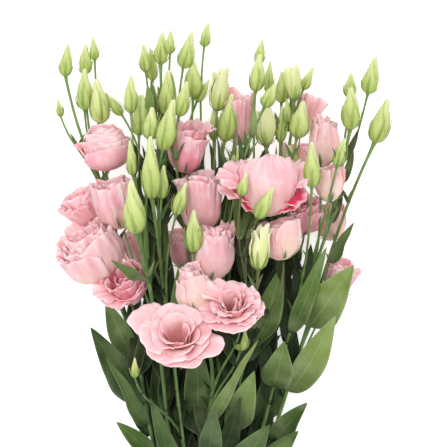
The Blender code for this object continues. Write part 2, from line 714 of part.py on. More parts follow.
def main():
    for obj in list(bpy.data.objects):
        bpy.data.objects.remove(obj)
    green = material("stem_green", (0.16, 0.3, 0.08), 0.5)
    leaf_green = material("leaf_green", (0.12, 0.24, 0.08), 0.5)
    pink = material("petal_pink", (0.85, 0.45, 0.5), 0.6)
    rubber = material("band_rubber", (0.5, 0.36, 0.2), 0.6)

    points = sum(len(through) + 1 for _, through, _ in STEMS.values())
    raised = np.zeros(points + len(SHOOTS) + len(LEAVES))
    for _ in range(EASE_PASSES):
        raised = ease_apart(Bunch(raised))
    bunch = Bunch(raised)
    nodes = []

    def keep(obj, finish):
        obj.data.materials.append(finish)
        nodes.append(obj)
        return obj

    def keep_bloom(stalk, head):
        if head.kind != "bud":
            count = sum(obj.name.startswith("bloom_") for obj in nodes) + 1
            foot = stalk[-1] + axis_of(head.lean, head.nod) * GAP
            keep(bloom_solid(f"bloom_{count:02d}", foot, head), pink)

    stems = {}
    for name, (_, _, head) in STEMS.items():
        line = bunch.stems[name].points
        stems[name] = keep(stem_solid(name, line, head), green)
        keep_bloom(line, head)
    for number, ((name, _, head), line) in enumerate(zip(SHOOTS, bunch.shoots)):
        join(stems[name], shoot_solid(number, line.points, head))
        keep_bloom(line.points, head)
    for number, ((_, _, _, width, roll), line) in enumerate(zip(LEAVES, bunch.leaves), 1):
        keep(leaf_solid(f"leaf_{number:02d}", line.points, line.out, width, roll), leaf_green)
    keep(band_solid(), rubber)
    centre_on_base(nodes)


main()
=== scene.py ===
# Lisianthus flower bunch: petals, buds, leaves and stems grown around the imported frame.
# Lengths in the dictionaries are in millimetres, angles in degrees; mm turns lengths into metres.

import math

import bmesh
import bpy
import numpy as np
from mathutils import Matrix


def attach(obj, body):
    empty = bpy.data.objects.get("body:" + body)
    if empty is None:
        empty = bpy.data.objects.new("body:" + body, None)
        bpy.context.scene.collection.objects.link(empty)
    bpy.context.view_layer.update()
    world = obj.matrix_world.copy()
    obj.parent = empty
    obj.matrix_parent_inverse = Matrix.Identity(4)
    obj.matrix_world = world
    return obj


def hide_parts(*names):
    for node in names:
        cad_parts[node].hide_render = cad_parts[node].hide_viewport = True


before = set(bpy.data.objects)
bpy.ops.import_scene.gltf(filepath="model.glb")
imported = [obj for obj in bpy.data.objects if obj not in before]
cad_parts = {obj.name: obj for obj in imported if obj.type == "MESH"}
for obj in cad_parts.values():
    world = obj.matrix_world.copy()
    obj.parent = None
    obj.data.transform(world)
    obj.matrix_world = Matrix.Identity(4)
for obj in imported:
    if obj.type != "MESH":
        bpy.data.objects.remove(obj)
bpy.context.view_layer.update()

mm = 0.001

# The layout is measured from a point 249.92 mm further down the stems than the frame's origin.
layoutShift = np.array((0.0, -249.92, 0.0))

view = {
    "middle": (0.0, 143.1),  # the point of the table under the camera
    "height": 2200.0,
    "lens": 209.2,
    "sensor": 36.0,
}


def unit(vector):
    return vector / np.linalg.norm(vector)


def curveAt(points, share):
    # a smooth line through the points (Catmull-Rom), read at shares 0 to 1 of its stations
    points = np.array(points, float)
    padded = np.vstack([2 * points[0] - points[1], points, 2 * points[-1] - points[-2]])
    place = np.clip(share, 0, 1) * (len(points) - 1)
    start = np.minimum(place.astype(int), len(points) - 2)
    f = (place - start)[..., None]
    a, b, c, d = (padded[start + step] for step in range(4))
    return 0.5 * (2 * b + (c - a) * f + (2 * a - 5 * b + 4 * c - d) * f**2 + (3 * b - a - 3 * c + d) * f**3)


def addObject(name, data):
    # an object in the scene
    thing = bpy.data.objects.new(name, data)
    bpy.context.scene.collection.objects.link(thing)
    return thing


# Materials

def linearColour(hexColour):
    # an sRGB hex colour as linear red, green, blue and alpha
    channels = [int(hexColour[i : i + 2], 16) / 255 for i in (1, 3, 5)]
    return (*(c / 12.92 if c <= 0.04045 else ((c + 0.055) / 1.055) ** 2.4 for c in channels), 1.0)


def setSocket(tree, socket, value):
    # a socket takes another node's output, a hex colour or a fixed value
    if isinstance(value, bpy.types.NodeSocket):
        tree.links.new(value, socket)
    else:
        socket.default_value = linearColour(value) if isinstance(value, str) else value


def addNode(tree, kind, settings=None, inputs=None, stops=()):
    # one node with its settings, its inputs and, on a ramp, its colours
    node = tree.nodes.new("ShaderNode" + kind)
    for name, value in (settings or {}).items():
        setattr(node, name, value)
    for name, value in (inputs or {}).items():
        setSocket(tree, node.inputs[name], value)
    for number, (place, colour) in enumerate(stops):
        ramp = node.color_ramp.elements
        stop = ramp[number] if number < 2 else ramp.new(place)
        stop.position = place
        stop.color = linearColour(colour)
    return node.outputs


def newMaterial(name, surface):
    # a Principled surface whose fixed values sit on its own sockets
    material = bpy.data.materials.new(name)
    material.use_nodes = True
    tree = material.node_tree
    shader = tree.nodes["Principled BSDF"]
    for socket, value in surface.items():
        setSocket(tree, shader.inputs[socket], value)
    return material, tree


def readGuides(tree):
    # where a point lies on its petal or blade, whole and as numbers, and how this one is tinted, painted
    # light and shade included
    place, tint = (addNode(tree, "Attribute", {"attribute_name": name})["Vector"]
                   for name in ("place", "tint"))
    return place, *(addNode(tree, "SeparateXYZ", inputs={0: whole}) for whole in (place, tint))


def grain(tree, perMetre, detail):
    # noise that stays on the piece, so many cells to the metre
    where = addNode(tree, "TexCoord")["Object"]
    inputs = {"Vector": where, "Scale": perMetre, "Detail": detail}
    return addNode(tree, "TexNoise", inputs=inputs)[0]


def streaks(tree, where, stretch, detail):
    # noise drawn out along the guides or the piece
    drawn = addNode(tree, "Mapping", inputs={0: where, "Scale": stretch})[0]
    return addNode(tree, "TexNoise", inputs={"Vector": drawn, "Scale": 1.0, "Detail": detail})[0]


def layOver(tree, colour, over, share, span=None, times=None):
    # one colour over another. A span says at which value there is none of it, at which there is
    # most and how much that is; times makes it weaker where another value is low.
    if span:
        start, end, most = span
        share = addNode(tree, "MapRange", inputs={0: share, 1: start, 2: end, 3: 0.0, 4: most})[0]
    if times is not None:
        share = addNode(tree, "Math", {"operation": "MULTIPLY"}, {0: share, 1: times})[0]
    return addNode(tree, "Mix", {"data_type": "RGBA"}, {0: share, 6: colour, 7: over})[2]


def finishSurface(material, colour, relief, strength, depth, rough=None):
    # the skin's colour, its fine relief, whose depth is in metres, and where it is rougher
    tree = material.node_tree
    skin = tree.nodes["Principled BSDF"].inputs
    setSocket(tree, skin["Base Color"], colour)
    bump = addNode(tree, "Bump", inputs={"Height": relief, "Strength": strength, "Distance": depth})
    setSocket(tree, skin["Normal"], bump[0])
    if rough is not None:
        setSocket(tree, skin["Roughness"], rough)
    return material


petalFinish = {
    "roughness": 0.62,
    "softLight": 0.34,  # how much light soaks through the petal
    "width": 26.0,  # of a usual petal
    "veinPitch": 1.3,  # real veins lie 0.5 mm apart, too fine to show, so they are drawn wider
    "crinkle": 0.35,
    "climb": 0.12,  # how far a throat of strength 1 climbs, as a share of the petal
}


def petalMaterial(name, inside):
    # Lisianthus petal, grown thin with a velvety skin: matt, faintly glowing, darker in the throat
    material, tree = newMaterial(name, {
        "Roughness": petalFinish["roughness"], "IOR": 1.4, "Specular IOR Level": 0.3,
        "Subsurface Weight": petalFinish["softLight"], "Subsurface Radius": (0.004, 0.002, 0.002),
        "Subsurface Scale": 1.0, "Sheen Weight": 0.12, "Sheen Roughness": 0.5, "Sheen Tint": "#ffd9e2"})
    place, (along, _, throat), (blush, cream, foldShading) = readGuides(tree)
    # the pale ramp's last two stops make the rim paler: a painted highlight
    pale = addNode(tree, "ValToRGB", inputs={0: along}, stops=[
        (0.0, "#b4c46a"), (0.05, "#e2d69c"), (0.14, "#f9ccb4"), (0.4, "#fdc3bd"), (0.72, "#fdbfc4"),
        (0.93, "#fdc6cb"), (1.0, "#ffdadc")])
    rosy = addNode(tree, "ValToRGB", inputs={0: along}, stops=[
        (0.0, "#a3ad5c"), (0.05, "#dfa080"), (0.14, "#ea7486"), (0.5, "#f08094"), (0.85, "#f697a8"),
        (1.0, "#fcc0ca")])
    colour = layOver(tree, pale[0], rosy[0], blush)
    # cream spreads up from the foot, further in some flowers than in others
    upTo = addNode(tree, "Math", {"operation": "SUBTRACT"}, {0: 1.15, 1: along})
    colour = layOver(tree, colour, "#fcdcba", upTo[0], times=cream)
    # painted shade in the hollow of each fold and a painted highlight on its crest; on the inside the two
    # swap
    if inside:
        foldShading = addNode(tree, "Math", {"operation": "SUBTRACT"}, {0: 1.0, 1: foldShading})[0]
    colour = layOver(tree, colour, "#e27f92", foldShading, (0.5, 0.0, 0.36))
    colour = layOver(tree, colour, "#fff0ec", foldShading, (0.55, 1.0, 0.4))
    # lengthwise veins, and soft blotches about 14 mm apart
    veins = streaks(tree, place, (1.5, petalFinish["width"] / petalFinish["veinPitch"], 1.0), 3.0)
    colour = layOver(tree, colour, "#f3a0b2", veins, (0.45, 0.75, 0.3))
    colour = layOver(tree, colour, "#fde0e2", grain(tree, 70.0, 4.0), (0.48, 0.75, 0.5))
    # the throat is deep rose inside; a stronger stain climbs higher, and above 2 it shows outside too
    climb = addNode(tree, "Math", {"operation": "MULTIPLY"}, {0: throat, 1: petalFinish["climb"]})
    above = addNode(tree, "Math", {"operation": "SUBTRACT"}, {0: along, 1: climb[0]})
    deep = addNode(tree, "MapRange", {"interpolation_type": "SMOOTHSTEP"},
                   {0: above[0], 1: 0.63, 2: 0.08, 3: 0.0, 4: 1.0})
    if not inside:
        throat = addNode(tree, "Math", {"operation": "SUBTRACT", "use_clamp": True},
                         {0: throat, 1: 2.0})[0]
    colour = layOver(tree, colour, "#c43156", deep[0], times=throat)
    # the skin's own grain, drawn 2.4 mm wide
    skin = addNode(tree, "Math", {"operation": "MULTIPLY"}, {0: grain(tree, 420.0, 2.0), 1: 0.4})
    relief = addNode(tree, "Math", {"operation": "ADD"}, {0: veins, 1: skin[0]})
    return finishSurface(material, colour, relief[0], petalFinish["crinkle"], 0.0006)


def budMaterial():
    # Closed bud petals, still green: smooth waxy skin, greener at the foot and pale at the point
    material, tree = newMaterial("waxy_green_bud", {
        "Roughness": 0.5, "IOR": 1.42, "Specular IOR Level": 0.4, "Sheen Weight": 0.08,
        "Subsurface Weight": 0.18, "Subsurface Radius": (0.002, 0.003, 0.001), "Subsurface Scale": 0.5})
    place, (along, _, tuckShade), (cream, peach, _) = readGuides(tree)
    green = addNode(tree, "ValToRGB", inputs={0: along}, stops=[
        (0.0, "#7b9342"), (0.2, "#9db159"), (0.5, "#bac876"), (0.78, "#d0d796"), (1.0, "#e8e9c2")])
    creamy = addNode(tree, "ValToRGB", inputs={0: along}, stops=[
        (0.0, "#98ab50"), (0.25, "#bccb78"), (0.6, "#d8dfa0"), (1.0, "#ece9c4")])
    colour = layOver(tree, green[0], creamy[0], cream)
    # painted shade where one petal tucks under the next, and the faint streaks between
    colour = layOver(tree, colour, "#6f8c38", tuckShade, (0.68, 1.0, 0.75))
    lines = streaks(tree, place, (2.0, 12.0, 9.0), 2.0)
    colour = layOver(tree, colour, "#e6eeb4", lines, (0.5, 0.8, 0.4))
    colour = layOver(tree, colour, "#f0c9a0", peach, times=along)
    return finishSurface(material, colour, lines, 0.25, 0.0005)


def sepalMaterial():
    # Young sepal: a waxy green sliver, nearly the colour of the bud that it hugs
    material, tree = newMaterial("young_sepal", {
        "Roughness": 0.5, "IOR": 1.42, "Specular IOR Level": 0.35, "Sheen Weight": 0.08})
    _, (along, across, _), (light, *_) = readGuides(tree)
    shade = addNode(tree, "ValToRGB", inputs={0: along}, stops=[
        (0.0, "#738c3c"), (0.4, "#90a84c"), (1.0, "#b2c26c")])
    aside = addNode(tree, "Math", {"operation": "ABSOLUTE"}, {0: across})
    colour = layOver(tree, shade[0], "#8dab4e", aside[0], (0.35, 0.0, 0.5))
    colour = layOver(tree, "#4c6836", colour, light)  # painted shade under an open flower
    pores = grain(tree, 700.0, 2.0)  # drawn 1.4 mm wide
    return finishSurface(material, colour, pores, 0.2, 0.0003)


def leafMaterial(name, dark, mid, light):
    # Lisianthus leaf, grown thick with a bluish wax bloom: dull, with a few pale lengthwise veins
    material, tree = newMaterial(name, {
        "IOR": 1.42, "Specular IOR Level": 0.25, "Sheen Weight": 0.06, "Sheen Tint": "#dfe9dc"})
    place, (along, across, _), (lit, *_) = readGuides(tree)
    shade = addNode(tree, "ValToRGB", inputs={0: lit}, stops=[
        (0.0, "#091004"), (0.35, dark), (0.7, mid), (1.0, light)])
    colour = layOver(tree, shade[0], "#1c2c14", along, (0.6, 0.0, 0.55))  # painted shade, darker towards its foot
    wax = grain(tree, 38.0, 5.0)  # patches about 26 mm apart
    colour = layOver(tree, colour, "#a2b280", wax, (0.4, 0.7, 0.6), lit)
    rough = addNode(tree, "MapRange", inputs={0: wax, 1: 0.3, 2: 0.7, 3: 0.48, 4: 0.62})
    # five veins run from the foot to the point, pale and slightly sunk
    turned = addNode(tree, "Math", {"operation": "MULTIPLY"}, {0: across, 1: 7.0})
    ripple = addNode(tree, "Math", {"operation": "SINE"}, {0: turned[0]})
    fromVein = addNode(tree, "Math", {"operation": "ABSOLUTE"}, {0: ripple[0]})
    vein = addNode(tree, "MapRange", inputs={0: fromVein[0], 1: 0.22, 2: 0.0, 3: 0.0, 4: 1.0})
    faint = addNode(tree, "Math", {"operation": "MULTIPLY"}, {0: lit, 1: 0.12})
    colour = layOver(tree, colour, "#a9c293", vein[0], times=faint[0])
    # the midrib is paler, and the edge gets a painted highlight, both stronger where the leaf is lit
    aside = addNode(tree, "Math", {"operation": "ABSOLUTE"}, {0: across})
    colour = layOver(tree, colour, "#a5bd86", aside[0], (0.06, 0.0, 0.32), lit)
    colour = layOver(tree, colour, "#b5c79c", aside[0], (0.9, 1.0, 0.3), lit)
    sunk = addNode(tree, "Math", {"operation": "MULTIPLY"}, {0: vein[0], 1: 0.5})
    relief = addNode(tree, "Math", {"operation": "SUBTRACT"},
                     {0: streaks(tree, place, (3.0, 14.0, 1.0), 3.0), 1: sunk[0]})
    return finishSurface(material, colour, relief[0], 0.35, 0.0006, rough[0])


def stemMaterial():
    # Lisianthus stem, smooth with thin wax: deep green below, yellower in the young shoots
    material, tree = newMaterial("smooth_green_stem", {
        "Roughness": 0.5, "IOR": 1.42, "Specular IOR Level": 0.4, "Sheen Weight": 0.06})
    _, (rise, *_), (redAndShade, *_) = readGuides(tree)
    shade = addNode(tree, "ValToRGB", inputs={0: rise}, stops=[
        (0.0, "#506e34"), (0.45, "#6d8c48"), (0.75, "#5f7c3a"), (1.0, "#6c8a42")])
    # lines about 4 mm apart and 60 mm long
    lines = streaks(tree, addNode(tree, "TexCoord")["Object"], (260.0, 16.0, 260.0), 3.0)
    colour = layOver(tree, shade[0], "#8ba266", lines, (0.4, 0.75, 0.55))
    colour = layOver(tree, colour, "#5c3a30", redAndShade)  # some stems are reddish brown mid-way up, partly their own colour and partly painted shade on the dark outer stems
    return finishSurface(material, colour, lines, 0.3, 0.0004)


def speckledMaterial(name, surface, low, high, perMetre):
    # a plain finish with fine speckle between two colours
    material, tree = newMaterial(name, surface)
    speckle = grain(tree, perMetre, 4.0)
    shade = addNode(tree, "ValToRGB", inputs={0: speckle}, stops=[(0.3, low), (0.7, high)])
    return finishSurface(material, shade[0], speckle, 0.15, 0.0003)


petalOutside = petalMaterial("petal_outside", False)
petalInside = petalMaterial("petal_inside", True)
budSkin = budMaterial()
youngSepal = sepalMaterial()
leafTop = leafMaterial("waxed_leaf_top", "#233614", "#4f6b30", "#788c46")
leafUnder = leafMaterial("waxed_leaf_underside", "#3a5226", "#6d8448", "#889b64")
stemSkin = stemMaterial()
# Cut stem end: wet pith, pale and slightly glossy, its pores about 1 mm apart
cutPith = speckledMaterial("cut_stem_pith", {"Roughness": 0.4, "IOR": 1.38}, "#b9c58a", "#dfe3bf", 900.0)
# Natural rubber band, moulded and cut: dull tan with specks of dust under 2 mm apart
bandRubber = speckledMaterial(
    "natural_rubber_band", {"Roughness": 0.7, "IOR": 1.52}, "#b98f5e", "#c9a273", 600.0)
print("materials ready")


# Meshes from grids of points

class Sheets:
    # grids of points in millimetres, gathered into one mesh with the guides its material reads
    def __init__(self):
        self.points, self.faces, self.place, self.tint, self.finish = [], [], [], [], []
        self.count = 0

    def add(self, grid, place, tint, finish=0, closed=False):
        # each guide has three values, the same all over or one for each row, column or point
        rows, columns = grid.shape[:2]
        index = self.count + np.arange(rows * columns).reshape(rows, columns)
        if closed:
            index = np.hstack([index, index[:, :1]])
        quads = np.stack([index[:-1, :-1], index[:-1, 1:], index[1:, 1:], index[1:, :-1]], -1).reshape(-1, 4)
        self.points.append(grid.reshape(-1, 3))
        self.faces.append(quads)
        for guide, values in ((self.place, place), (self.tint, tint)):
            spread = [np.broadcast_to(value, (rows, columns)) for value in values]
            guide.append(np.stack(spread, -1).reshape(-1, 3))
        self.finish.append(np.full(len(quads), finish))
        self.count += rows * columns


def writeGuides(mesh, place, tint):
    for guide, values in (("place", place), ("tint", tint)):
        layer = mesh.attributes.new(guide, "FLOAT_VECTOR", "POINT")
        layer.data.foreach_set("vector", values.astype(np.float32).ravel())


def standInFrame(name, mesh, replaced):
    # one piece of the bunch, riding on the frame and standing for its CAD nodes
    mesh.shade_smooth()
    piece = addObject(name, mesh)
    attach(piece, "root")
    if replaced:
        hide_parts(*replaced)
    return piece


def newPiece(name, sheets, materials, replaced=(), thick=0.0, outward=False):
    # a piece from its sheets; with a thickness the material after each face's own covers its back
    points = np.vstack(sheets.points) * mm
    points[:, 2] = np.maximum(points[:, 2], thick * mm)  # nothing reaches into the table
    mesh = bpy.data.meshes.new(name)
    mesh.from_pydata(points.tolist(), [], np.vstack(sheets.faces).tolist())
    writeGuides(mesh, np.vstack(sheets.place), np.vstack(sheets.tint))
    mesh.polygons.foreach_set("material_index", np.concatenate(sheets.finish).astype(np.int32))
    work = bmesh.new()
    work.from_mesh(mesh)
    bmesh.ops.remove_doubles(work, verts=work.verts, dist=1e-6)
    bmesh.ops.dissolve_degenerate(work, edges=work.edges, dist=1e-7)
    if outward:
        bmesh.ops.recalc_face_normals(work, faces=work.faces)
    work.to_mesh(mesh)
    work.free()
    for material in materials:
        mesh.materials.append(material)
    piece = standInFrame(name, mesh, replaced)
    if thick:
        shell = piece.modifiers.new("thickness", "SOLIDIFY")
        shell.thickness = thick * mm
        shell.offset = -1.0
        shell.material_offset = 1


# Reading the frame

cadFlower = {
    "rim": 0.95,  # how far up a flower its last ring lies
    "ring": (1.0, 2.4),  # the radius of its first ring lies between these
    "alike": 0.03,  # points of one ring are this much alike in how far from the middle they lie
}
cadBud = {
    "tip": 0.28,  # from its last ring to the point, as a share of the length
    "ring": 0.54,  # radius of its last ring as a share of the bud's
    "sharp": 1.3,  # its point is at least this many times as long as that ring's radius
    "uneven": 0.12,  # how much the ring's radius may vary, as a share
    "least": 3.0,  # the shortest point
    "core": (0.1, 1.02),  # where its core begins and ends, as shares of its length
    "girth": 1.15,  # reach of its core's points as a share of its radius
}


def weldedMesh(name):
    # a CAD node's mesh as a bmesh, its split corners joined
    work = bmesh.new()
    work.from_mesh(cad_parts[name].data)
    bmesh.ops.remove_doubles(work, verts=work.verts, dist=1e-5)
    work.verts.ensure_lookup_table()
    return work


def nodePoints(work):
    return np.array([v.co for v in work.verts]) / mm


def alongAxis(points, origin, axis):
    # how far up an axis each point lies, and how far from it
    offset = points - origin
    height = offset @ axis
    return height, np.linalg.norm(offset - height[:, None] * axis, axis=1)


def flowerPlace(name):
    # foot, axis, radius and length of a CAD flower: its rings and its hollow share one axis
    work = weldedMesh(name)
    points = nodePoints(work)
    work.free()
    middle = points.mean(0)
    reach = np.linalg.norm(points - middle, axis=1)
    kin = (np.abs(reach[:, None] - reach[None, :]) < cadFlower["alike"]).sum(1)
    hollow = points[kin.argmin()]  # every ring point has nine like it
    axis = unit(hollow - middle)
    height, away = alongAxis(points, middle, axis)
    least, most = cadFlower["ring"]
    footHeight = height[(away > least) & (away < most)].mean()
    if footHeight > 0:
        axis, height, footHeight = -axis, -height, -footHeight
    return {"foot": middle + axis * footHeight, "axis": axis, "radius": away.max(),
            "length": (height.max() - footHeight) / cadFlower["rim"]}


def budPlaces(work):
    # a bud ends in a sharp point whose neighbours form one small ring
    found = []
    for vertex in work.verts:
        around = np.array([edge.other_vert(vertex).co for edge in vertex.link_edges]) / mm
        if not 5 <= len(around) <= 6:
            continue
        tip = np.array(vertex.co) / mm
        centre = around.mean(0)
        width = np.linalg.norm(around - centre, axis=1)
        drop = np.linalg.norm(tip - centre)
        even = width.std() < cadBud["uneven"] * width.mean()
        if even and drop > max(cadBud["sharp"] * width.mean(), cadBud["least"]):
            axis = unit(tip - centre)
            length = drop / cadBud["tip"]
            found.append({"foot": tip - axis * length, "axis": axis, "length": length,
                          "radius": width.mean() / cadBud["ring"]})
    return found


# Petals

petal = {
    "thick": 0.35,
    "pitch": 1.3,  # between mesh points across a petal
    "columns": (9, 52),
    "rows": 16,
    "longWave": 15.0,  # along the rim
    "shortWave": 5.2,
    "frillPatch": 6.3,  # the frill comes and goes along the rim, once in two pi times this
    "crease": 8.5,  # from one crease of the crumpled skin to the next
    "rag": (0.028, 0.01),  # how ragged the rim is, coarse and fine, as shares of the petal's length
    "ragWaves": (4.6, 1.7),  # how long the coarse and the fine rags are, over two pi
    "skew": 0.06,  # how much higher one corner may stand than the other
    "vary": (0.97, 1.03),  # one petal's width and length beside those of its neighbours
    "open": 1.2,  # a petal that reaches this many times its belly lies open
    "turn": 137.5,  # from one petal of a flower's spiral to the next
    "waver": 9.0,  # how far a petal may stand off its place in the spiral
    "rise": (0.93, 1.05),  # height of one petal of the spiral beside its kind's
}
# What a petal is like unless its flower says otherwise.
plainPetal = {"corner": 0.2, "round": 2.4, "rag": 1.0, "waist": 0.0, "spiral": 0.05, "pleat": 0.4,
              "crumple": 0.6, "dent": 1.0, "blush": 0.0, "cream": 1.0, "throat": 1.0,
              "longWave": petal["longWave"]}


def facing(axis):
    # the direction across the axis that points most up from the table, and the one to its right
    front = unit(np.array((0.0, 0.0, 1.0)) - axis * axis[2])
    return front, np.cross(axis, front)


def turnedGrid(flower, up, out, angle):
    # points so far up a flower's axis and so far out from it
    front, right = facing(flower["axis"])
    ray = np.cos(angle)[..., None] * front + np.sin(angle)[..., None] * right
    return flower["foot"] + up[..., None] * flower["axis"] + out[..., None] * ray


def gridNormals(grid):
    normals = np.cross(np.gradient(grid, axis=1), np.gradient(grid, axis=0))
    return normals / np.maximum(np.linalg.norm(normals, axis=2, keepdims=True), 1e-9)


def rippled(arc, wave, phase):
    return np.sin(math.tau * arc / wave + phase)


def addPetal(sheets, flower, whorl, turn, tint, chance):
    # one petal on a turned surface round the flower's axis, its rim ruffled and its corners round
    whorl = {**plainPetal, **whorl}
    spread = math.radians(whorl["spread"])
    widest = max(point[1] for point in whorl["curve"]) * flower["radius"]
    columns = int(np.clip(2 * spread * widest / petal["pitch"], *petal["columns"])) | 1
    u = np.linspace(-1, 1, columns)[None, :]
    v = np.linspace(0, 1, petal["rows"])[:, None] ** 0.85
    arc = u * spread * widest
    phases = chance.uniform(0, math.tau, 10)
    rag = sum(deep * np.sin(arc / long + phase)
              for deep, long, phase in zip(petal["rag"], petal["ragWaves"], phases))
    skew = whorl.get("skew", petal["skew"] * math.sin(phases[8]))
    corner = whorl["corner"] * np.abs(u) ** whorl["round"]
    shape = curveAt(whorl["curve"], v * (1 - corner + skew * u + whorl["rag"] * rag))
    waist = 1 - whorl["waist"] * (1 - v) ** 1.5
    angle = math.radians(turn) + u * spread * waist
    swirl = 1 + whorl["spiral"] * u * (0.3 + 0.7 * v)
    out = shape[..., 1] * flower["radius"] * swirl * chance.uniform(*petal["vary"])
    up = shape[..., 0] * flower["length"] * chance.uniform(*petal["vary"])
    grid = turnedGrid(flower, up, out, angle)
    normals = gridNormals(grid)
    longWave, shortWave = whorl["longWave"], petal["shortWave"]
    # long waves and a fine frill at the rim, pleats half way up, creases all over
    wave = whorl["ruffle"] * v**2.8 * (
        0.7 * rippled(arc, longWave, phases[2]) + 0.5 * rippled(arc, longWave * 0.57, phases[3] + 2 * v))
    wave = wave + whorl["frill"] * v**6 * (1 + 0.8 * np.sin(arc / petal["frillPatch"] + phases[9])) * (
        rippled(arc, shortWave, phases[4]) + 0.6 * rippled(arc, shortWave * 0.61, phases[5]))
    wave = wave + whorl["pleat"] * np.sin(math.pi * v) * np.sin(5 * u + phases[6])
    crumple = rippled(arc, petal["crease"], phases[5] + 2.5 * np.sin(6 * v + phases[1]))
    wave = wave + whorl["crumple"] * v * crumple * np.sin(9 * v + phases[3] + arc / 5)
    # how deep in a fold's hollow or high on its crest a point lies, for the petal's painted shade and
    # highlight
    foldShading = 0.5 + 0.5 * np.tanh(wave / 1.3)
    wave = wave + whorl["dent"] * v * np.sin(1.7 * u + phases[7])
    grid = grid + normals * wave[..., None]
    blush, cream, throat = tint
    blush = blush + whorl["blush"] + chance.uniform(-0.08, 0.08)
    sheets.add(grid, (v, u + phases[0], whorl["throat"] * throat), (blush, cream * whorl["cream"], foldShading))


def addSepals(sheets, flower, chance, reach=0.5, width=1.9, light=0.9, apart=(0.3, 0.6), finish=2):
    # five narrow sepals that clasp the foot of the flower and stand off at their tips
    front, right = facing(flower["axis"])
    t = np.linspace(0, 1, 9)
    u = np.array((-1.0, -0.4, 0.4, 1.0))
    for number in range(5):
        angle = math.radians(72 * number + chance.uniform(-12, 12))
        long = reach * flower["length"] * chance.uniform(0.8, 1.1)
        out = curveAt(flower["hug"], t * long / flower["length"])[:, 1] * flower["radius"]
        out = out + apart[0] + apart[1] * t**2
        half = width / 2 * (1 - t**2.2) * (0.75 + 0.5 * np.sin(math.pi * t)) + 0.12
        ray = math.cos(angle) * front + math.sin(angle) * right
        side = np.cross(flower["axis"], ray)
        middle = flower["foot"] + (t * long)[:, None] * flower["axis"] + out[:, None] * ray
        grid = middle[:, None, :] + (half[:, None] * u)[..., None] * side
        grid = grid - (0.25 * half[:, None] * u**2)[..., None] * ray
        sheets.add(grid, (t[:, None], u, 0.0), (light * chance.uniform(0.85, 1.1), 0.0, 0.0), finish)


def petalCurve(height, reach, belly, neck=1.0):
    # a petal's middle line: out from the foot to its belly, then in or out to its rim
    return [(0, 0.1), (0.06 * height, 0.42 * belly), (0.26 * height, 0.84 * belly), (0.52 * height, belly),
            (0.8 * height, neck * (belly + reach) / 2), (height, reach)]


def flaredCurve(height, reach, neck):
    # the line of a petal that climbs a narrow neck and then lies open
    wide = reach - neck
    return [(0, 0.08), (0.4 * height, 0.8 * neck), (0.7 * height, neck), (0.87 * height, neck + 0.26 * wide),
            (0.97 * height, neck + 0.62 * wide), (height, reach)]


def curveAtLength(curve):
    # the same outline with its stations spread evenly over the length
    fine = curveAt(curve, np.linspace(0, 1, 60))
    return [(h, np.interp(h, np.maximum.accumulate(fine[:, 0]), fine[:, 1])) for h in np.linspace(0, 1, 12)]


# Each kind of flower as one spiral of petals, from the outermost to the innermost. The three
# values are for the outermost, the middle and the innermost petal: height of the rim as a share of
# the flower's length, reach of the rim and width of the belly as shares of its radius.
flowerKinds = {
    # half open, its rim still upright
    "cup": {"petals": 12, "spread": (62, 58, 80), "ruffle": (2.2, 2.0, 1.2), "frill": (1.3, 1.2, 0.7),
            "height": (0.9, 1.0, 0.86), "reach": (0.98, 0.7, 0.14), "belly": (1.0, 0.76, 0.2)},
    # drawn together at the top, an egg with a ruffled rim
    "tight": {"petals": 11, "spread": (68, 62, 80), "ruffle": (0.8, 1.7, 1.4), "frill": (0.5, 1.1, 1.0),
              "height": (0.84, 0.98, 1.0), "reach": (0.8, 0.62, 0.26), "belly": (1.04, 0.88, 0.3),
              "innerBlush": 0.5},
    # a rose with its outer petals bent out
    "open": {"petals": 13, "spread": (60, 60, 80), "ruffle": (2.2, 2.0, 1.1), "frill": (1.0, 1.0, 0.6),
             "height": (0.66, 0.92, 0.84), "reach": (1.2, 0.8, 0.14), "belly": (0.9, 0.68, 0.18)},
    # narrow below and wide above
    "trumpet": {"petals": 11, "spread": (58, 60, 80), "ruffle": (2.2, 2.0, 1.2), "frill": (1.2, 1.2, 0.7),
                "height": (1.0, 1.02, 0.86), "reach": (1.12, 0.78, 0.16), "belly": (0.74, 0.58, 0.2)},
    # a rose's heart, the middle of a flower whose outer petals are listed one by one
    "heart": {"petals": 8, "spread": (62, 62, 80), "ruffle": (1.9, 1.8, 1.1), "frill": (0.9, 0.9, 0.6),
              "height": (0.94, 0.92, 0.82), "reach": (0.7, 0.5, 0.12), "belly": (0.72, 0.5, 0.18)},
    # a bud that has just let its petals go at the top
    "opening": {"petals": 8, "spread": (44, 44, 80), "ruffle": (0.4, 0.5, 0.3), "frill": (0.1, 0.1, 0.1),
                "height": (1.03, 1.0, 0.85), "reach": (1.0, 0.8, 0.2), "belly": (1.04, 0.9, 0.3),
                "corner": 0.3, "neck": 0.9},
    # the same a day later: five outer points stand off a closed middle
    "star": {"petals": 9, "spread": (46, 44, 80), "ruffle": (0.3, 0.3, 0.3), "frill": (0.1, 0.1, 0.1),
             "height": (1.02, 0.9, 0.6), "reach": (1.3, 0.9, 0.2), "belly": (1.08, 0.96, 0.3), "corner": 0.2,
             "round": 1.0, "neck": 0.78, "turn": 72.0},
}
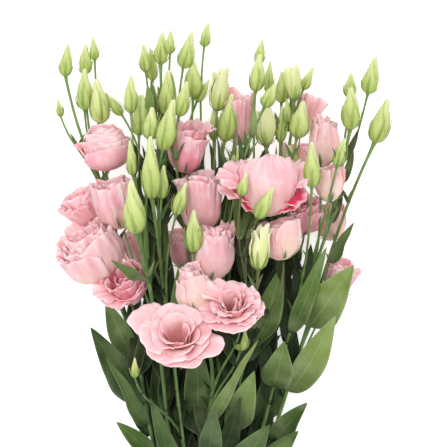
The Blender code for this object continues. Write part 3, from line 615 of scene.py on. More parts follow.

# Each flower: its kind, blush (0 pale to 1 rose), cream at the foot, throat, how many petals of
# its kind it has inside, and what else sets it apart: how it is widened, lengthened, turned,
# shifted, leant to the right and nodded towards the top. Petals listed one by one are given as the
# angle from the side that faces up, spread, height, reach, belly and ruffle, then the frill where it
# isn't the flower's own, and anything else that sets them apart. A petal that reaches well beyond
# its belly lies open, and its belly is its neck.
flowers = {
    # a cup leaning away to the left, smooth below and a rosette above
    "bloom_01": {"kind": "heart", "blush": 0.2, "cream": 0.35, "throat": 0.9, "wide": 1.08, "longWave": 14,
                 "count": 8, "tall": 1.16, "petals": [
        (40, 66, 0.84, 0.94, 1.04, 0.7, 0.3), (-44, 58, 0.66, 1.1, 1.04, 1.8, 0.7),
        (-104, 56, 0.72, 1.16, 0.96, 2.2, 0.8), (120, 60, 0.9, 0.96, 1.0, 1.4, 0.8),
        (170, 60, 0.96, 1.04, 0.9, 2.0, 0.8), (-70, 50, 0.8, 0.98, 0.86, 2.2, 0.8),
        (-14, 60, 0.76, 0.86, 0.92, 1.8, 0.7), (80, 60, 0.9, 0.76, 0.9, 1.2, 0.6),
        (-145, 56, 0.9, 0.9, 0.8, 2.0, 0.8), (10, 60, 0.84, 0.66, 0.8, 1.6, 0.7),
        (-90, 54, 0.86, 0.7, 0.76, 2.0, 0.8), (-40, 54, 0.84, 0.7, 0.76, 1.8, 0.8)]},
    # smooth and rose-coloured, its rim flared and pale
    "bloom_02": {"kind": "heart", "blush": 1.0, "cream": 0.1, "throat": 1.0, "wide": 0.82, "lean": 4,
                 "count": 5, "shift": (-4, 0, 0), "petals": [
        (-20, 62, 0.84, 0.86, 0.94, 0.8), (52, 60, 0.8, 1.0, 0.84, 0.9, {"blush": -0.3}),
        (-95, 50, 0.9, 1.05, 1.0, 1.4, {"blush": -0.6}), (120, 60, 1.0, 1.3, 0.8, 1.6, {"blush": -0.6}),
        (-160, 60, 1.04, 1.15, 0.8, 1.6, {"blush": -0.6}), (66, 46, 0.94, 1.4, 0.76, 1.6, {"blush": -0.5}),
        (-60, 46, 0.96, 1.1, 0.86, 1.6, 0.7, {"blush": -0.3})]},
    # a creamy egg with a ruffled tuft
    "bloom_03": {"kind": "tight", "blush": 0.05, "cream": 0.8, "throat": 0.3, "wide": 1.12, "count": 0,
                 "shift": (1, 0, 5), "crumple": 0.3, "petals": [
        (24, 84, 0.84, 0.8, 1.1, 0.3, 0.2), (-100, 74, 0.76, 0.84, 1.04, 0.5),
        (140, 74, 0.86, 0.76, 1.04, 0.5), (-20, 80, 0.86, 0.7, 1.0, 0.6, 0.5),
        (-40, 60, 0.98, 0.6, 0.8, 1.5, 1.0, {"blush": 0.4, "cream": 0.3}),
        (-90, 60, 1.02, 0.62, 0.74, 1.5, 1.0, {"blush": 0.4, "cream": 0.3}),
        (60, 56, 0.96, 0.4, 0.8, 1.3, 0.9, {"blush": 0.3, "cream": 0.3}),
        (170, 70, 1.06, 0.5, 0.8, 1.4, 1.0, {"blush": 0.4, "cream": 0.3}),
        (-60, 70, 1.06, 0.34, 0.6, 1.2, 0.9, {"blush": 0.5, "cream": 0.3}),
        (0, 84, 0.94, 0.2, 0.5, 0.8, {"blush": 0.5}), (180, 84, 0.98, 0.16, 0.4, 0.8, {"blush": 0.5})]},
    "bloom_04": {"kind": "tight", "blush": 0.5, "cream": 0.2, "throat": 0.4, "wide": 1.1, "tall": 1.06,
                 "count": 6, "lean": 2, "shift": (-3, 1, 0), "petals": [
        (16, 80, 0.9, 0.8, 1.02, 0.6), (-92, 44, 0.74, 1.5, 0.9, 2.0, 1.0, {"blush": -0.3}),
        (-70, 60, 0.86, 0.92, 1.0, 1.0), (104, 56, 0.92, 0.98, 1.0, 1.2, 0.6),
        (-150, 70, 1.0, 0.95, 0.96, 1.6, 0.8), (-40, 50, 0.98, 0.74, 0.9, 1.6, 1.0),
        (60, 44, 1.02, 0.9, 0.9, 1.6, 1.0, {"blush": -0.2}),
        (118, 50, 1.08, 1.56, 0.86, 2.0, 1.0, {"blush": -0.2})]},
    # one broad smooth petal folded over in front, deep rose at its lower corners
    "bloom_05": {"kind": "heart", "blush": 0.15, "cream": 0.0, "throat": 2.4, "tall": 0.92, "count": 6,
                 "shift": (2, -5, 0), "petals": [
        (-104, 46, 0.74, 1.4, 0.7, 2.2, 0.8, {"throat": 0.4, "blush": 0.15}),
        (110, 46, 0.78, 1.26, 0.7, 2.2, 0.8, {"throat": 0.4, "blush": 0.15}),
        (150, 60, 0.86, 0.9, 0.8, 1.8, {"throat": 0.6}), (-150, 60, 0.86, 0.9, 0.8, 1.8, {"throat": 0.6}),
        (-78, 36, 0.4, 1.04, 0.5, 1.6, 0.5, {"blush": 0.7, "throat": 1.45}),
        (78, 38, 0.44, 1.12, 0.5, 1.6, 0.5, {"blush": 0.7, "throat": 1.45}),
        (-62, 32, 0.24, 0.86, 0.5, 1.0, {"blush": 0.7, "throat": 1.45}),
        (66, 34, 0.24, 0.88, 0.5, 1.0, {"blush": 0.7, "throat": 1.45}),
        (-98, 32, 0.42, 1.4, 0.66, 1.6, 0.7, {"blush": 0.1, "throat": 0.2, "cream": 0.6})],
        "hood": {"spread": 88, "ruffle": 0.5, "frill": 0.15, "spiral": 0.0, "corner": 0.36, "waist": 0.1,
                 "pleat": 0.7, "rag": 0.3, "blush": 0.1, "throat": 0.2, "skew": 0.06, "longWave": 34,
                 "crumple": 1.0, "dent": 0.8, "curve": [(0, 0.1), (0.06, 0.54), (0.34, 0.7), (0.72, 0.79),
                                                        (1.02, 0.76), (1.24, 0.58), (1.36, 0.2)]}},
    # rose-coloured, with pale petals laid open on its left
    "bloom_06": {"kind": "heart", "blush": 0.9, "cream": 0.0, "throat": 0.9, "wide": 1.04, "count": 5,
                 "shift": (-1, 1, -6), "longWave": 22, "frill": 0.25, "petals": [
        (-84, 50, 0.66, 1.36, 0.6, 1.6, 0.6, {"blush": -0.7, "throat": 0.1}),
        (-48, 50, 0.5, 1.28, 0.6, 1.6, 0.6, {"blush": -0.6, "throat": 0.1}),
        (0, 60, 0.58, 1.0, 0.8, 1.4, {"blush": -0.3}),
        # its right petals are deeper rose with the throat stain outside: partly their own colour, partly
        # painted shade
        (62, 56, 0.72, 1.0, 0.85, 1.2, {"blush": 0.4, "throat": 2.5}),
        (110, 56, 0.9, 0.9, 0.85, 1.4, {"blush": 0.4, "throat": 2.6}), (160, 60, 0.9, 0.8, 0.75, 1.6),
        (-140, 60, 0.84, 0.85, 0.7, 1.6), (24, 60, 0.8, 0.76, 0.66, 1.4, {"blush": 0.2}),
        (-60, 60, 0.82, 0.8, 0.6, 1.4, {"blush": -0.2}), (84, 60, 0.88, 0.66, 0.6, 1.2, {"blush": 0.3})]},
    "bloom_07": {"kind": "open", "blush": 0.4, "cream": 0.1, "throat": 0.5, "wide": 1.12,
                 "shift": (-2, 2, -5)},
    # a level rim in front with a closed swirl above it, drawn out to a point on the left
    "bloom_08": {"kind": "tight", "blush": 0.55, "cream": 0.1, "throat": 0.3, "wide": 0.96, "nod": 2,
                 "count": 0, "shift": (2, 2, 0), "crumple": 0.15, "frill": 0.15, "longWave": 22, "petals": [
        (12, 84, 0.52, 1.04, 1.02, 0.5, {"blush": 0.2}), (-92, 38, 0.64, 1.34, 1.0, 0.6, {"corner": 0.36}),
        (112, 60, 0.6, 1.0, 1.0, 0.8), (-30, 70, 0.6, 1.0, 0.95, 0.8, {"blush": -0.3}),
        (24, 84, 0.62, 0.97, 0.92, 0.8, {"blush": -0.3}), (-62, 80, 0.7, 0.96, 0.9, 0.8, {"blush": -0.4}),
        (76, 80, 0.72, 0.9, 0.9, 0.8, {"blush": -0.4}), (-8, 88, 0.73, 0.86, 0.88, 0.7, {"blush": -0.3}),
        (180, 88, 0.92, 0.6, 0.95, 0.8, {"blush": -0.5}), (34, 88, 0.8, 0.72, 0.84, 0.6, {"blush": -0.4}),
        (-54, 88, 0.84, 0.64, 0.82, 0.6, {"blush": -0.5}), (64, 88, 0.88, 0.48, 0.8, 0.5, {"blush": -0.4}),
        (-10, 88, 0.9, 0.34, 0.76, 0.4, {"blush": -0.5}), (180, 88, 0.92, 0.1, 0.74, 0.3, {"blush": -0.5}),
        (0, 88, 0.93, 0.1, 0.72, 0.3, {"blush": -0.5})]},
    "bloom_09": {"kind": "cup", "blush": 0.5, "cream": 0.2, "throat": 0.7, "wide": 1.05, "turn": 50,
                 "shift": (-2, 0, 0)},
    "bloom_10": {"kind": "open", "blush": 0.3, "cream": 0.2, "throat": 0.6, "wide": 1.25, "count": 10,
                 "shift": (3, 3, 7)},
    # wide open: broad petals lie over each other round a small throat
    "bloom_11": {"kind": "open", "blush": 0.1, "cream": 0.12, "throat": 0.55, "count": 0, "shift": (6, 0, 0),
                 "wide": 0.79, "longWave": 36, "frill": 0.1, "crumple": 0.35, "petals": [
        (-120, 46, 0.8, 1.62, 0.42, 0.5, {"corner": 0.5, "skew": -0.08}), (-158, 44, 0.94, 0.95, 0.42, 1.2),
        (-86, 52, 0.9, 1.16, 0.5, 0.8), (-44, 56, 0.74, 1.14, 0.5, 1.2), (4, 60, 0.54, 1.1, 0.5, 1.6),
        (64, 42, 0.6, 1.36, 0.5, 1.4, {"corner": 0.44}), (100, 50, 0.76, 1.0, 0.45, 1.2),
        (150, 60, 0.96, 0.84, 0.42, 1.0), (34, 62, 0.66, 0.92, 0.46, 1.4), (-22, 64, 0.74, 0.86, 0.44, 1.2),
        (-72, 58, 0.88, 0.86, 0.44, 0.9), (44, 68, 0.76, 0.62, 0.4, 1.0), (-56, 72, 0.84, 0.62, 0.4, 0.8),
        (130, 70, 0.9, 0.54, 0.36, 0.8), (-150, 76, 0.94, 0.56, 0.36, 0.8),
        (96, 60, 0.82, 0.36, 0.26, 0.7)]},
    "bloom_12": {"kind": "open", "blush": 0.6, "cream": 0.2, "throat": 0.8, "wide": 1.22, "count": 9,
                 "shift": (0, 4, 6)},
    # a long trumpet with a crinkled rim
    "bloom_13": {"kind": "trumpet", "blush": 0.35, "cream": 0.2, "throat": 0.9, "wide": 0.86, "lean": -13,
                 "tall": 1.14, "count": 7, "shift": (1, 0, 0), "petals": [
        (-88, 44, 0.56, 1.5, 0.75, 1.5, 0.8, {"blush": 0.7, "throat": 0.3}),
        (-8, 78, 0.98, 1.1, 0.95, 0.8, 1.0), (-100, 54, 0.66, 1.14, 0.95, 1.0),
        (84, 58, 1.0, 1.1, 0.95, 1.2, 1.0), (170, 66, 1.04, 1.1, 0.95, 1.4, 1.0),
        (-70, 50, 1.02, 1.1, 0.93, 1.2, 1.0)]},
    # a broad smooth petal below, ruffles to the upper right, a small deep throat
    "bloom_14": {"kind": "heart", "blush": 0.1, "cream": 0.1, "throat": 0.65, "wide": 1.04, "count": 0,
                 "shift": (-3, 3, 0), "petals": [
        (-24, 84, 0.6, 1.2, 0.5, 0.6, 0.25, {"crumple": 0.35}), (-84, 46, 0.7, 1.24, 0.5, 0.9),
        (56, 54, 0.64, 1.14, 0.5, 1.5, 0.8), (98, 44, 0.72, 1.0, 0.42, 2.0, 0.9),
        (150, 50, 0.86, 0.82, 0.4, 1.8, 0.9), (-136, 36, 0.98, 1.15, 0.36, 1.6, 0.9),
        (10, 76, 0.7, 0.92, 0.46, 0.9, 0.3), (84, 56, 0.82, 0.8, 0.4, 1.4, 0.7),
        (-72, 66, 0.84, 0.8, 0.4, 0.9), (160, 60, 0.94, 0.66, 0.36, 1.2), (0, 88, 0.84, 0.5, 0.38, 0.6),
        (-120, 80, 0.94, 0.46, 0.34, 0.8), (120, 80, 0.92, 0.4, 0.32, 0.7),
        (70, 88, 0.86, 0.22, 0.2, 0.4)]},
    # one broad pointed petal on the right, crinkled ones on the left
    "bloom_15": {"kind": "heart", "blush": 0.3, "cream": 0.9, "throat": 0.8, "wide": 1.08, "count": 5,
                 "petals": [
        (42, 56, 0.98, 1.0, 0.94, 1.0, 0.4, {"corner": 0.34, "blush": -0.1}),
        (-74, 56, 0.74, 1.0, 0.95, 1.6, 0.9, {"blush": 0.4, "cream": 0.4}),
        (-24, 50, 0.86, 0.8, 0.9, 1.4, 0.8, {"blush": 0.4, "cream": 0.4}), (112, 60, 0.88, 0.96, 1.0, 1.0),
        (170, 70, 0.98, 0.9, 0.9, 1.6, 0.9, {"blush": 0.4, "cream": 0.4}),
        (-120, 60, 0.94, 0.9, 0.85, 1.6, 0.9, {"blush": 0.4, "cream": 0.4})]},
    "bloom_16": {"kind": "trumpet", "blush": 0.6, "cream": 0.4, "throat": 0.5, "wide": 1.2, "count": 9,
                 "nod": 14, "lean": -6, "turn": 60},
    "bloom_17": {"kind": "trumpet", "blush": 0.35, "cream": 0.3, "throat": 0.5, "wide": 1.2, "count": 9,
                 "nod": 8, "lean": 10},
    "bloom_18": {"kind": "open", "blush": 0.6, "cream": 0.1, "throat": 2.2, "wide": 1.25, "count": 9,
                 "shift": (-2, 0, 9)},
    "bloom_19": {"kind": "tight", "blush": 0.2, "cream": 0.6, "throat": 0.4, "wide": 0.96, "count": 9},
    "bloom_20": {"kind": "cup", "blush": 0.3, "cream": 0.9, "throat": 0.6, "wide": 1.15, "count": 9},
    "bloom_21": {"kind": "cup", "blush": 0.6, "cream": 0.6, "throat": 0.6, "wide": 1.15, "count": 9},
    "bloom_22": {"kind": "cup", "blush": 0.5, "cream": 0.9, "throat": 0.6, "wide": 1.15, "count": 9},
    "bloom_23": {"kind": "open", "blush": 0.3, "cream": 0.3, "throat": 0.6, "wide": 1.15, "count": 10},
}


def addSpiral(sheets, flower, kind, tint, turn, chance, count=None):
    # the petals of one kind of flower, wound inwards
    plan = flowerKinds[kind]
    count = plan["petals"] if count is None else count
    for number in range(count):
        share = (plan["petals"] - count + number) / (plan["petals"] - 1)
        at = {name: float(np.interp(share, (0, 0.5, 1), plan[name]))
              for name in ("height", "reach", "belly", "spread", "ruffle", "frill")}
        curve = petalCurve(at["height"] * chance.uniform(*petal["rise"]), at["reach"], at["belly"],
                           plan.get("neck", 1.0))
        whorl = {"curve": curve, "spread": at["spread"], "ruffle": at["ruffle"], "frill": at["frill"],
                 "spiral": 0.05 + 0.25 * share**2, "blush": plan.get("innerBlush", 0.2) * share,
                 **{name: plan[name] for name in ("corner", "round") if name in plan}}
        angle = turn + number * plan.get("turn", petal["turn"])
        angle = angle + chance.uniform(-petal["waver"], petal["waver"])
        addPetal(sheets, flower, whorl, angle, tint, chance)


def shiftOf(looks):
    # how far a flower stands from its CAD place
    return np.array(looks.get("shift", (0, 0, 0)), float)


def makeFlower(name, looks):
    chance = np.random.default_rng(int(name[-2:]))
    flower = flowerPlace(name)
    flowerPlaces[name] = dict(flower)
    flower["radius"] *= looks.get("wide", 1.0)
    flower["length"] *= looks.get("tall", 1.0)
    flower["foot"] = flower["foot"] + shiftOf(looks)
    front, right = facing(flower["axis"])
    lean, nod = math.radians(looks.get("lean", 0)), math.radians(looks.get("nod", 0))
    flower["axis"] = unit(flower["axis"] + front * math.tan(nod) + right * math.tan(lean))
    tint = (looks["blush"], looks["cream"], looks["throat"])
    turn = looks.get("turn", 0)
    bellies = [flowerKinds[looks["kind"]]["belly"][0]]
    sheets = Sheets()
    for angle, spread, height, reach, belly, ruffle, *others in looks.get("petals", ()):
        makeCurve = flaredCurve if reach > petal["open"] * belly else petalCurve
        whorl = {"spread": spread, "ruffle": ruffle, "frill": looks.get("frill", 0.35),
                 "curve": makeCurve(height, reach, belly),
                 **{name: looks[name] for name in ("crumple", "longWave") if name in looks}}
        for other in others:
            whorl.update(other if isinstance(other, dict) else {"frill": other})
        addPetal(sheets, flower, whorl, turn + angle, tint, chance)
        bellies.append(belly)
    if "hood" in looks:
        addPetal(sheets, flower, looks["hood"], 0, tint, chance)
    addSpiral(sheets, flower, looks["kind"], tint, turn, chance, looks.get("count"))
    flower["hug"] = curveAtLength(petalCurve(1.0, 1.0, max(bellies)))
    # its sepals get a light of 0.25: painted shade under the petals
    addSepals(sheets, flower, chance, 0.3, 2.0, 0.25, (1.0, 1.8))
    newPiece(name + "_petals", sheets, openMaterials, [name], petal["thick"])


openMaterials = [petalOutside, petalInside, youngSepal, youngSepal]
flowerPlaces = {}  # where each flower's CAD solid stands
for name, looks in flowers.items():
    makeFlower(name, looks)
print("flowers made:", len(flowers))


# Buds

bud = {
    "curve": [(0, 0.25), (0.03, 0.55), (0.12, 0.84), (0.27, 1.0), (0.43, 0.96), (0.59, 0.76), (0.74, 0.53),
              (0.88, 0.36), (0.97, 0.24), (1.0, 0.1)],
    "wide": 1.1,  # how much wider it is than its CAD core
    "twist": 150.0,  # how far the petals wind round from foot to point
    "step": 0.2,  # how far one petal's edge stands over the next
    "bend": 0.05,  # how far its point leans over, as a share of its length
    "sides": 40,
    "rows": 22,
    "sepalThick": 0.3,
}

# Buds that have begun to open or look unlike the rest, by where their foot stands in the layout.
# The turn is where an opening bud's first petal stands.
oddBuds = [
    {"at": (-5, 486), "kind": "star", "cream": 0.55, "wide": 0.98, "turn": 36},
    {"at": (-75, 483), "cream": 0.25, "wide": 1.0},
    {"at": (58, 494), "kind": "opening", "cream": 0.15, "wide": 1.05},
    {"at": (28, 356), "kind": "star", "cream": 0.7, "wide": 1.0, "turn": 36},
    {"at": (35, 457), "kind": "opening", "cream": 0.65, "wide": 1.16, "turn": 20},
    {"at": (-101, 476), "cream": 0.7, "wide": 1.0, "peach": 0.1},
    {"at": (-69, 385), "cream": 0.3, "wide": 1.05},
]


def addBud(sheets, flower, cream, peach, chance):
    # petals wound round each other: a closed body with five stepped edges
    sides = bud["sides"]
    t = np.linspace(0, 1, bud["rows"])[:, None]
    around = np.arange(sides)[None, :] / sides
    shape = curveAt(bud["curve"], t + 0 * around)
    wound = (around * 5 + t * bud["twist"] / 72 + chance.random()) % 1.0
    step = 1 + bud["step"] * (wound**2 - 0.4) * np.sin(math.pi * np.clip(t * 1.15, 0, 1)) ** 0.5
    grid = turnedGrid(flower, shape[..., 0] * flower["length"], shape[..., 1] * flower["radius"] * step,
                      around * math.tau)
    grid = grid + (t**2)[..., None] * unit(chance.normal(size=3)) * bud["bend"] * flower["length"]
    foot, point = (np.repeat(row.mean(1, keepdims=True), sides, 1) for row in (grid[:1], grid[-1:]))
    t = np.concatenate([t[:1], t, t[-1:]])
    wound = np.concatenate([wound[:1], wound, wound[-1:]])
    grid = np.concatenate([foot, grid, point])
    sheets.add(grid, (t, wound, wound), (cream, peach, chance.random()), closed=True)


def addBudSepals(sheets, flower, reach, core, chance):
    # a bud's sepals, broader where its core is
    addSepals(sheets, flower, chance, reach, 0.2 * core + 0.3, apart=(0.7, 1.5), finish=0)


# Slim late buds that stand among the others: foot in the layout, height, lean, length, radius and
# the place on a stem where their stalk begins.
lateBuds = [
    {"at": (37, 501, 52), "lean": 4, "length": 26.0, "radius": 3.6, "from": (34, 462)},
    {"at": (52, 476, 62), "lean": 3, "length": 20.0, "radius": 3.2, "from": (46, 452)},
    {"at": (-57, 484, 50), "lean": -3, "length": 26.0, "radius": 3.8, "from": (-54, 462)},
]

stalk = {
    "late": 1.5,  # thickness under a late bud
    "short": 1.6,  # thickness under a flower that is moved off its stem's end
    "least": 2.0,  # a flower moved by no more than this needs none
    "into": 1.5,  # how far it reaches into the stem and the flower
    "bow": 0.03,  # as a share of its length
    "sides": 8,
}


def addStalk(sheets, foot, top, thick, chance):
    # a thin round stalk, bowed a little
    t = np.linspace(0, 1, 12)[:, None]
    bow = np.array((chance.normal(), 0, chance.normal())) * stalk["bow"] * np.linalg.norm(top - foot)
    middle = foot * (1 - t) + top * t + bow * np.sin(math.pi * t)
    turn = np.arange(stalk["sides"]) / stalk["sides"] * math.tau
    ring = np.stack([np.cos(turn), 0 * turn, np.sin(turn)], -1) * thick / 2
    sheets.add(middle[:, None] + ring[None], (1.0, 0.0, 0.0), (0.0, 0.0, 0.0), closed=True)


def topOfStem(at):
    # the highest point of any stem within 7 mm of a place in the layout, or as near as one comes
    offset = everyStem - np.array((*at, 0.0)) - layoutShift
    away = np.hypot(offset[:, 0], offset[:, 1])
    near = away < max(7, away.min() + 1)
    return everyStem[near][everyStem[near][:, 2].argmax()]


def nearest(places, at):
    spot = np.array((*at, 0)) + layoutShift
    return min(places, key=lambda place: np.hypot(*(place["foot"] - spot)[:2]))


stems = {name: weldedMesh(name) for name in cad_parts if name.startswith("stem_")}
buds = {name: budPlaces(work) for name, work in stems.items()}
print("buds found:", sum(len(places) for places in buds.values()))


def inBuds(name, points):
    # which of a stem's points belong to the cores of its buds
    inside = np.zeros(len(points), bool)
    for place in buds[name]:
        height, away = alongAxis(points, place["foot"], place["axis"])
        low, high = np.array(cadBud["core"]) * place["length"]
        inside |= (height > low) & (away < cadBud["girth"] * place["radius"]) & (height < high)
    return inside


stemPoints = {name: nodePoints(work) for name, work in stems.items()}
stemPoints = {name: points[~inBuds(name, points)] for name, points in stemPoints.items()}
everyStem = np.vstack(list(stemPoints.values()))

for odd in oddBuds:
    nearest([place for places in buds.values() for place in places], odd["at"])["odd"] = odd

for name, places in buds.items():
    closed, opened, sepals = Sheets(), Sheets(), Sheets()
    chance = np.random.default_rng(100 + ord(name[-1]))
    for place in places:
        odd = place.get("odd", {})
        flower = dict(place, radius=place["radius"] * odd.get("wide", bud["wide"]),
                      hug=curveAtLength(bud["curve"]))
        cream = odd.get("cream", chance.uniform(0.0, 0.3))
        if "kind" in odd:
            turn = chance.uniform(0, 72)
            addSpiral(opened, flower, odd["kind"], (cream, 0.0, 0.0), odd.get("turn", turn), chance)
            addSepals(opened, flower, chance)
        else:
            addBud(closed, flower, cream, odd.get("peach", 0.0), chance)
            addBudSepals(sepals, flower, chance.uniform(0.45, 0.75), place["radius"], chance)
    if closed.points:
        newPiece(name + "_buds", closed, [budSkin], outward=True)
    if opened.points:
        newPiece(name + "_opening_buds", opened, [budSkin, budSkin, youngSepal, youngSepal],
                 thick=petal["thick"])
    if sepals.points:
        newPiece(name + "_sepals", sepals, [youngSepal, youngSepal], thick=bud["sepalThick"])
print("buds made")

chance = np.random.default_rng(77)
heads, stalks, sepals = Sheets(), Sheets(), Sheets()
for late in lateBuds:
    lean = math.radians(late["lean"])
    foot = np.array(late["at"], float) + layoutShift
    flower = {"foot": foot, "axis": unit(np.array((math.sin(lean), math.cos(lean), 0.1))),
              "length": late["length"], "radius": late["radius"], "hug": curveAtLength(bud["curve"])}
    addBud(heads, flower, 0.1, 0.0, chance)
    addBudSepals(sepals, flower, 0.6, late["radius"], chance)
    start = topOfStem(late["from"]) - np.array((0, 0, 0.5))  # a little into the stem
    addStalk(stalks, start, foot + 0.4 * flower["axis"], stalk["late"], chance)
for name, looks in flowers.items():
    # a flower moved off its stem's end gets a short stalk of its own
    foot, into = flowerPlaces[name]["foot"], stalk["into"] * flowerPlaces[name]["axis"]
    if np.linalg.norm(shiftOf(looks)) > stalk["least"]:
        addStalk(stalks, foot - into, foot + shiftOf(looks) + into, stalk["short"], chance)
newPiece("late_buds", heads, [budSkin], outward=True)
newPiece("late_bud_sepals", sepals, [youngSepal, youngSepal], thick=bud["sepalThick"])
newPiece("short_stalks", stalks, [stemSkin], outward=True)


# Stems

stem = {
    "young": (130.0, 290.0),  # how far up from the frame's origin they begin and end to turn yellower
    # how reddish brown each stem turns: partly its own colour, partly painted shade
    "reddenedAndShaded": {"stem_b": 0.25, "stem_f": 0.3, "stem_i": 0.6, "stem_j": 0.2},
    "redTo": 260.0,
}


def makeStem(name, work):
    # the CAD stem without its bud cores, rounded off
    core = np.flatnonzero(inBuds(name, nodePoints(work)))
    bmesh.ops.delete(work, geom=[work.verts[i] for i in core], context="VERTS")
    bmesh.ops.join_triangles(work, faces=work.faces, angle_face_threshold=0.6, angle_shape_threshold=0.9)
    mesh = bpy.data.meshes.new(name)
    work.to_mesh(mesh)
    work.free()
    up = np.array([v.co for v in mesh.vertices])[:, 1] / mm
    first, last = stem["young"]
    rise = np.clip((up - first) / (last - first), 0, 1)
    redAndShade = stem["reddenedAndShaded"].get(name, 0.0) * np.sin(math.pi * np.clip(up / stem["redTo"], 0, 1)) ** 2
    writeGuides(mesh, np.stack((rise, 0 * rise, 0 * rise), -1), np.stack((redAndShade, 0 * rise, 0 * rise), -1))
    mesh.materials.append(stemSkin)
    mesh.materials.append(cutPith)
    cut = up.min() + 1
    for face in mesh.polygons:
        face.material_index = int(all(up[i] < cut for i in face.vertices))
    smooth = standInFrame(name + "_shoots", mesh, [name]).modifiers.new("rounding", "SUBSURF")
    smooth.levels = smooth.render_levels = 1


for name, work in stems.items():
    makeStem(name, work)
print("stems made:", len(stems))


# Leaves

leaf = {
    "thick": 0.45,
    "rows": 22,
    "columns": 11,
    "keel": 0.3,  # how far the blade folds up on each side of its midrib
    "wave": 1.3,
    "foot": 3.2,  # width where it clasps the stem
    "footRing": 4.5,  # the points this near its end are the small ring at its foot
    # how light leaf_01 to leaf_23 are, 0 in deep shade to 1 in full light
    "light": [1.0, 1.0, 0.75, 0.75, 0.5, 0.85, 0.88, 0.95, 0.55, 0.42, 0.6, 0.7,
              0.7, 0.5, 0.55, 0.7, 0.75, 0.35, 0.45, 0.5, 0.4, 0.3, 0.6],
}


def leafOutline(t, width):
    swell = np.sin(math.pi * np.clip(t, 0, 1) ** 0.72) ** 0.85
    return np.where(t >= 1, 0.0, leaf["foot"] / 2 * (1 - t) + (width / 2 - leaf["foot"] / 4) * swell)


def addBlade(sheets, middle, side, width, light, chance):
    # a leaf's blade along its midrib, folded a little and waved at its edges
    rows = len(middle)
    columns = 5 if width < 8 else 7 if rows < leaf["rows"] else leaf["columns"]
    t = np.linspace(0, 1, rows)[:, None]
    along = np.gradient(middle, axis=0)
    along /= np.linalg.norm(along, axis=1, keepdims=True)
    side = side - along * (side * along).sum(1, keepdims=True)
    side /= np.linalg.norm(side, axis=1, keepdims=True)
    face = np.cross(side, along)
    face *= np.sign(face[:, 2].mean() + 1e-6)
    u = np.linspace(-1, 1, columns)
    half = leafOutline(t, width)
    phases = chance.uniform(0, math.tau, 4)
    lift = leaf["keel"] * half * (np.abs(u) ** 1.3 + 0.25 * np.exp(-(u * 6) ** 2))
    sway = leaf["wave"] * (half / (width / 2)) * np.abs(u) ** 2 * np.sin(
        math.tau * t * 1.7 + phases[0] + np.where(u > 0, phases[1], phases[2]))
    grid = middle[:, None] + (half * u)[..., None] * side[:, None]
    grid = grid + (lift + sway * min(width / 16, 1.2))[..., None] * face[:, None]
    sheets.add(grid, (t, u, 0.0), (light, 0.0, 0.0))


def readLeaf(name):
    # midrib and sideways directions of a CAD leaf, from its points along the line foot to tip
    work = weldedMesh(name)
    points = nodePoints(work)
    work.free()
    apart = np.linalg.norm(points[:, None] - points[None], axis=2)
    one, two = np.unravel_index(apart.argmax(), apart.shape)
    close = apart < leaf["footRing"]
    if close[one].sum() < close[two].sum():
        one, two = two, one
    near = close[one]  # the foot is a small ring, the tip a single point
    foot, tip = points[near].mean(0), points[two]
    line = tip - foot
    share = np.clip((points - foot) @ line / (line @ line), 0, 1)
    powers = np.stack([share**k for k in range(4)], 1)
    weight = np.where(near, 3.0, 1.0)[:, None]  # the foot and the tip hold the midrib most
    weight[two] = 12.0
    fit = np.linalg.lstsq(powers * weight, points * weight, rcond=None)[0]
    aside = points - powers @ fit
    stations, sides = np.linspace(0.08, 0.8, 6), []
    for station in stations:
        side = np.linalg.svd(aside[np.abs(share - station) < 0.14])[2][0]
        sides.append(-side if sides and side @ sides[-1] < 0 else side)
    t = np.linspace(0, 1, leaf["rows"])
    middle = np.stack([t**k for k in range(4)], 1) @ fit
    side = np.stack([np.interp(t, stations, np.array(sides)[:, axis]) for axis in range(3)], 1)
    return middle, side, 2 * np.linalg.norm(aside, axis=1).max()


for number, light in enumerate(leaf["light"], 1):
    name = f"leaf_{number:02}"
    middle, side, width = readLeaf(name)
    sheets = Sheets()
    addBlade(sheets, middle, side, width, light, np.random.default_rng(number + 40))
    newPiece(name + "_blade", sheets, [leafTop, leafUnder], [name], leaf["thick"])
print("leaves made:", len(leaf["light"]))


# Inner foliage: the many leaves between the stems, below the flowers, most of them dark with painted shade

foliage = [
    # broad leaves low down, and narrow ones that rise between the flower stalks
    {"count": 150, "from": 120.0, "to": 300.0, "length": (46.0, 76.0), "width": (13.0, 23.0), "ceiling": 34.0,
     "side": (-88.0, 60.0), "light": (0.0, 0.36), "stems": "abcdefghijkliijj"},
    {"count": 80, "from": 275.0, "to": 335.0, "length": (45.0, 85.0), "width": (6.0, 11.0), "ceiling": 44.0,
     "side": (-84.0, 64.0), "light": (0.0, 0.5), "stems": "bcdefghijkl"},
    {"count": 80, "from": 310.0, "to": 368.0, "length": (36.0, 56.0), "width": (6.0, 10.0), "ceiling": 44.0,
     "side": (-78.0, 78.0), "light": (0.0, 0.55), "stems": "cdefhijj"},
    {"count": 110, "from": 340.0, "to": 425.0, "length": (36.0, 60.0), "width": (4.0, 8.0), "ceiling": 60.0,
     "side": (-84.0, 84.0), "light": (0.1, 0.75), "stems": "cdefghijhijk"},
]

stray = {
    "lean": 32.0,  # to either side at most
    "fan": 0.004,  # how much more each leans outwards, in radians for each millimetre from the middle
    "climb": (-0.3, 0.25),  # of its tip, as a share of its length
    "floor": 3.0,  # the lowest its tip lies
    "bulge": 0.1,  # as a share of its length
    "turn": 50.0,  # of its face to either side at most
    "under": 2.0,  # how far it stays below a flower's foot
    "around": 1.05,  # how far it stays from a flower's axis, as a share of the flower's radius
    "beside": 0.9,  # the same seen from above, where it lies higher than the flower's foot
}


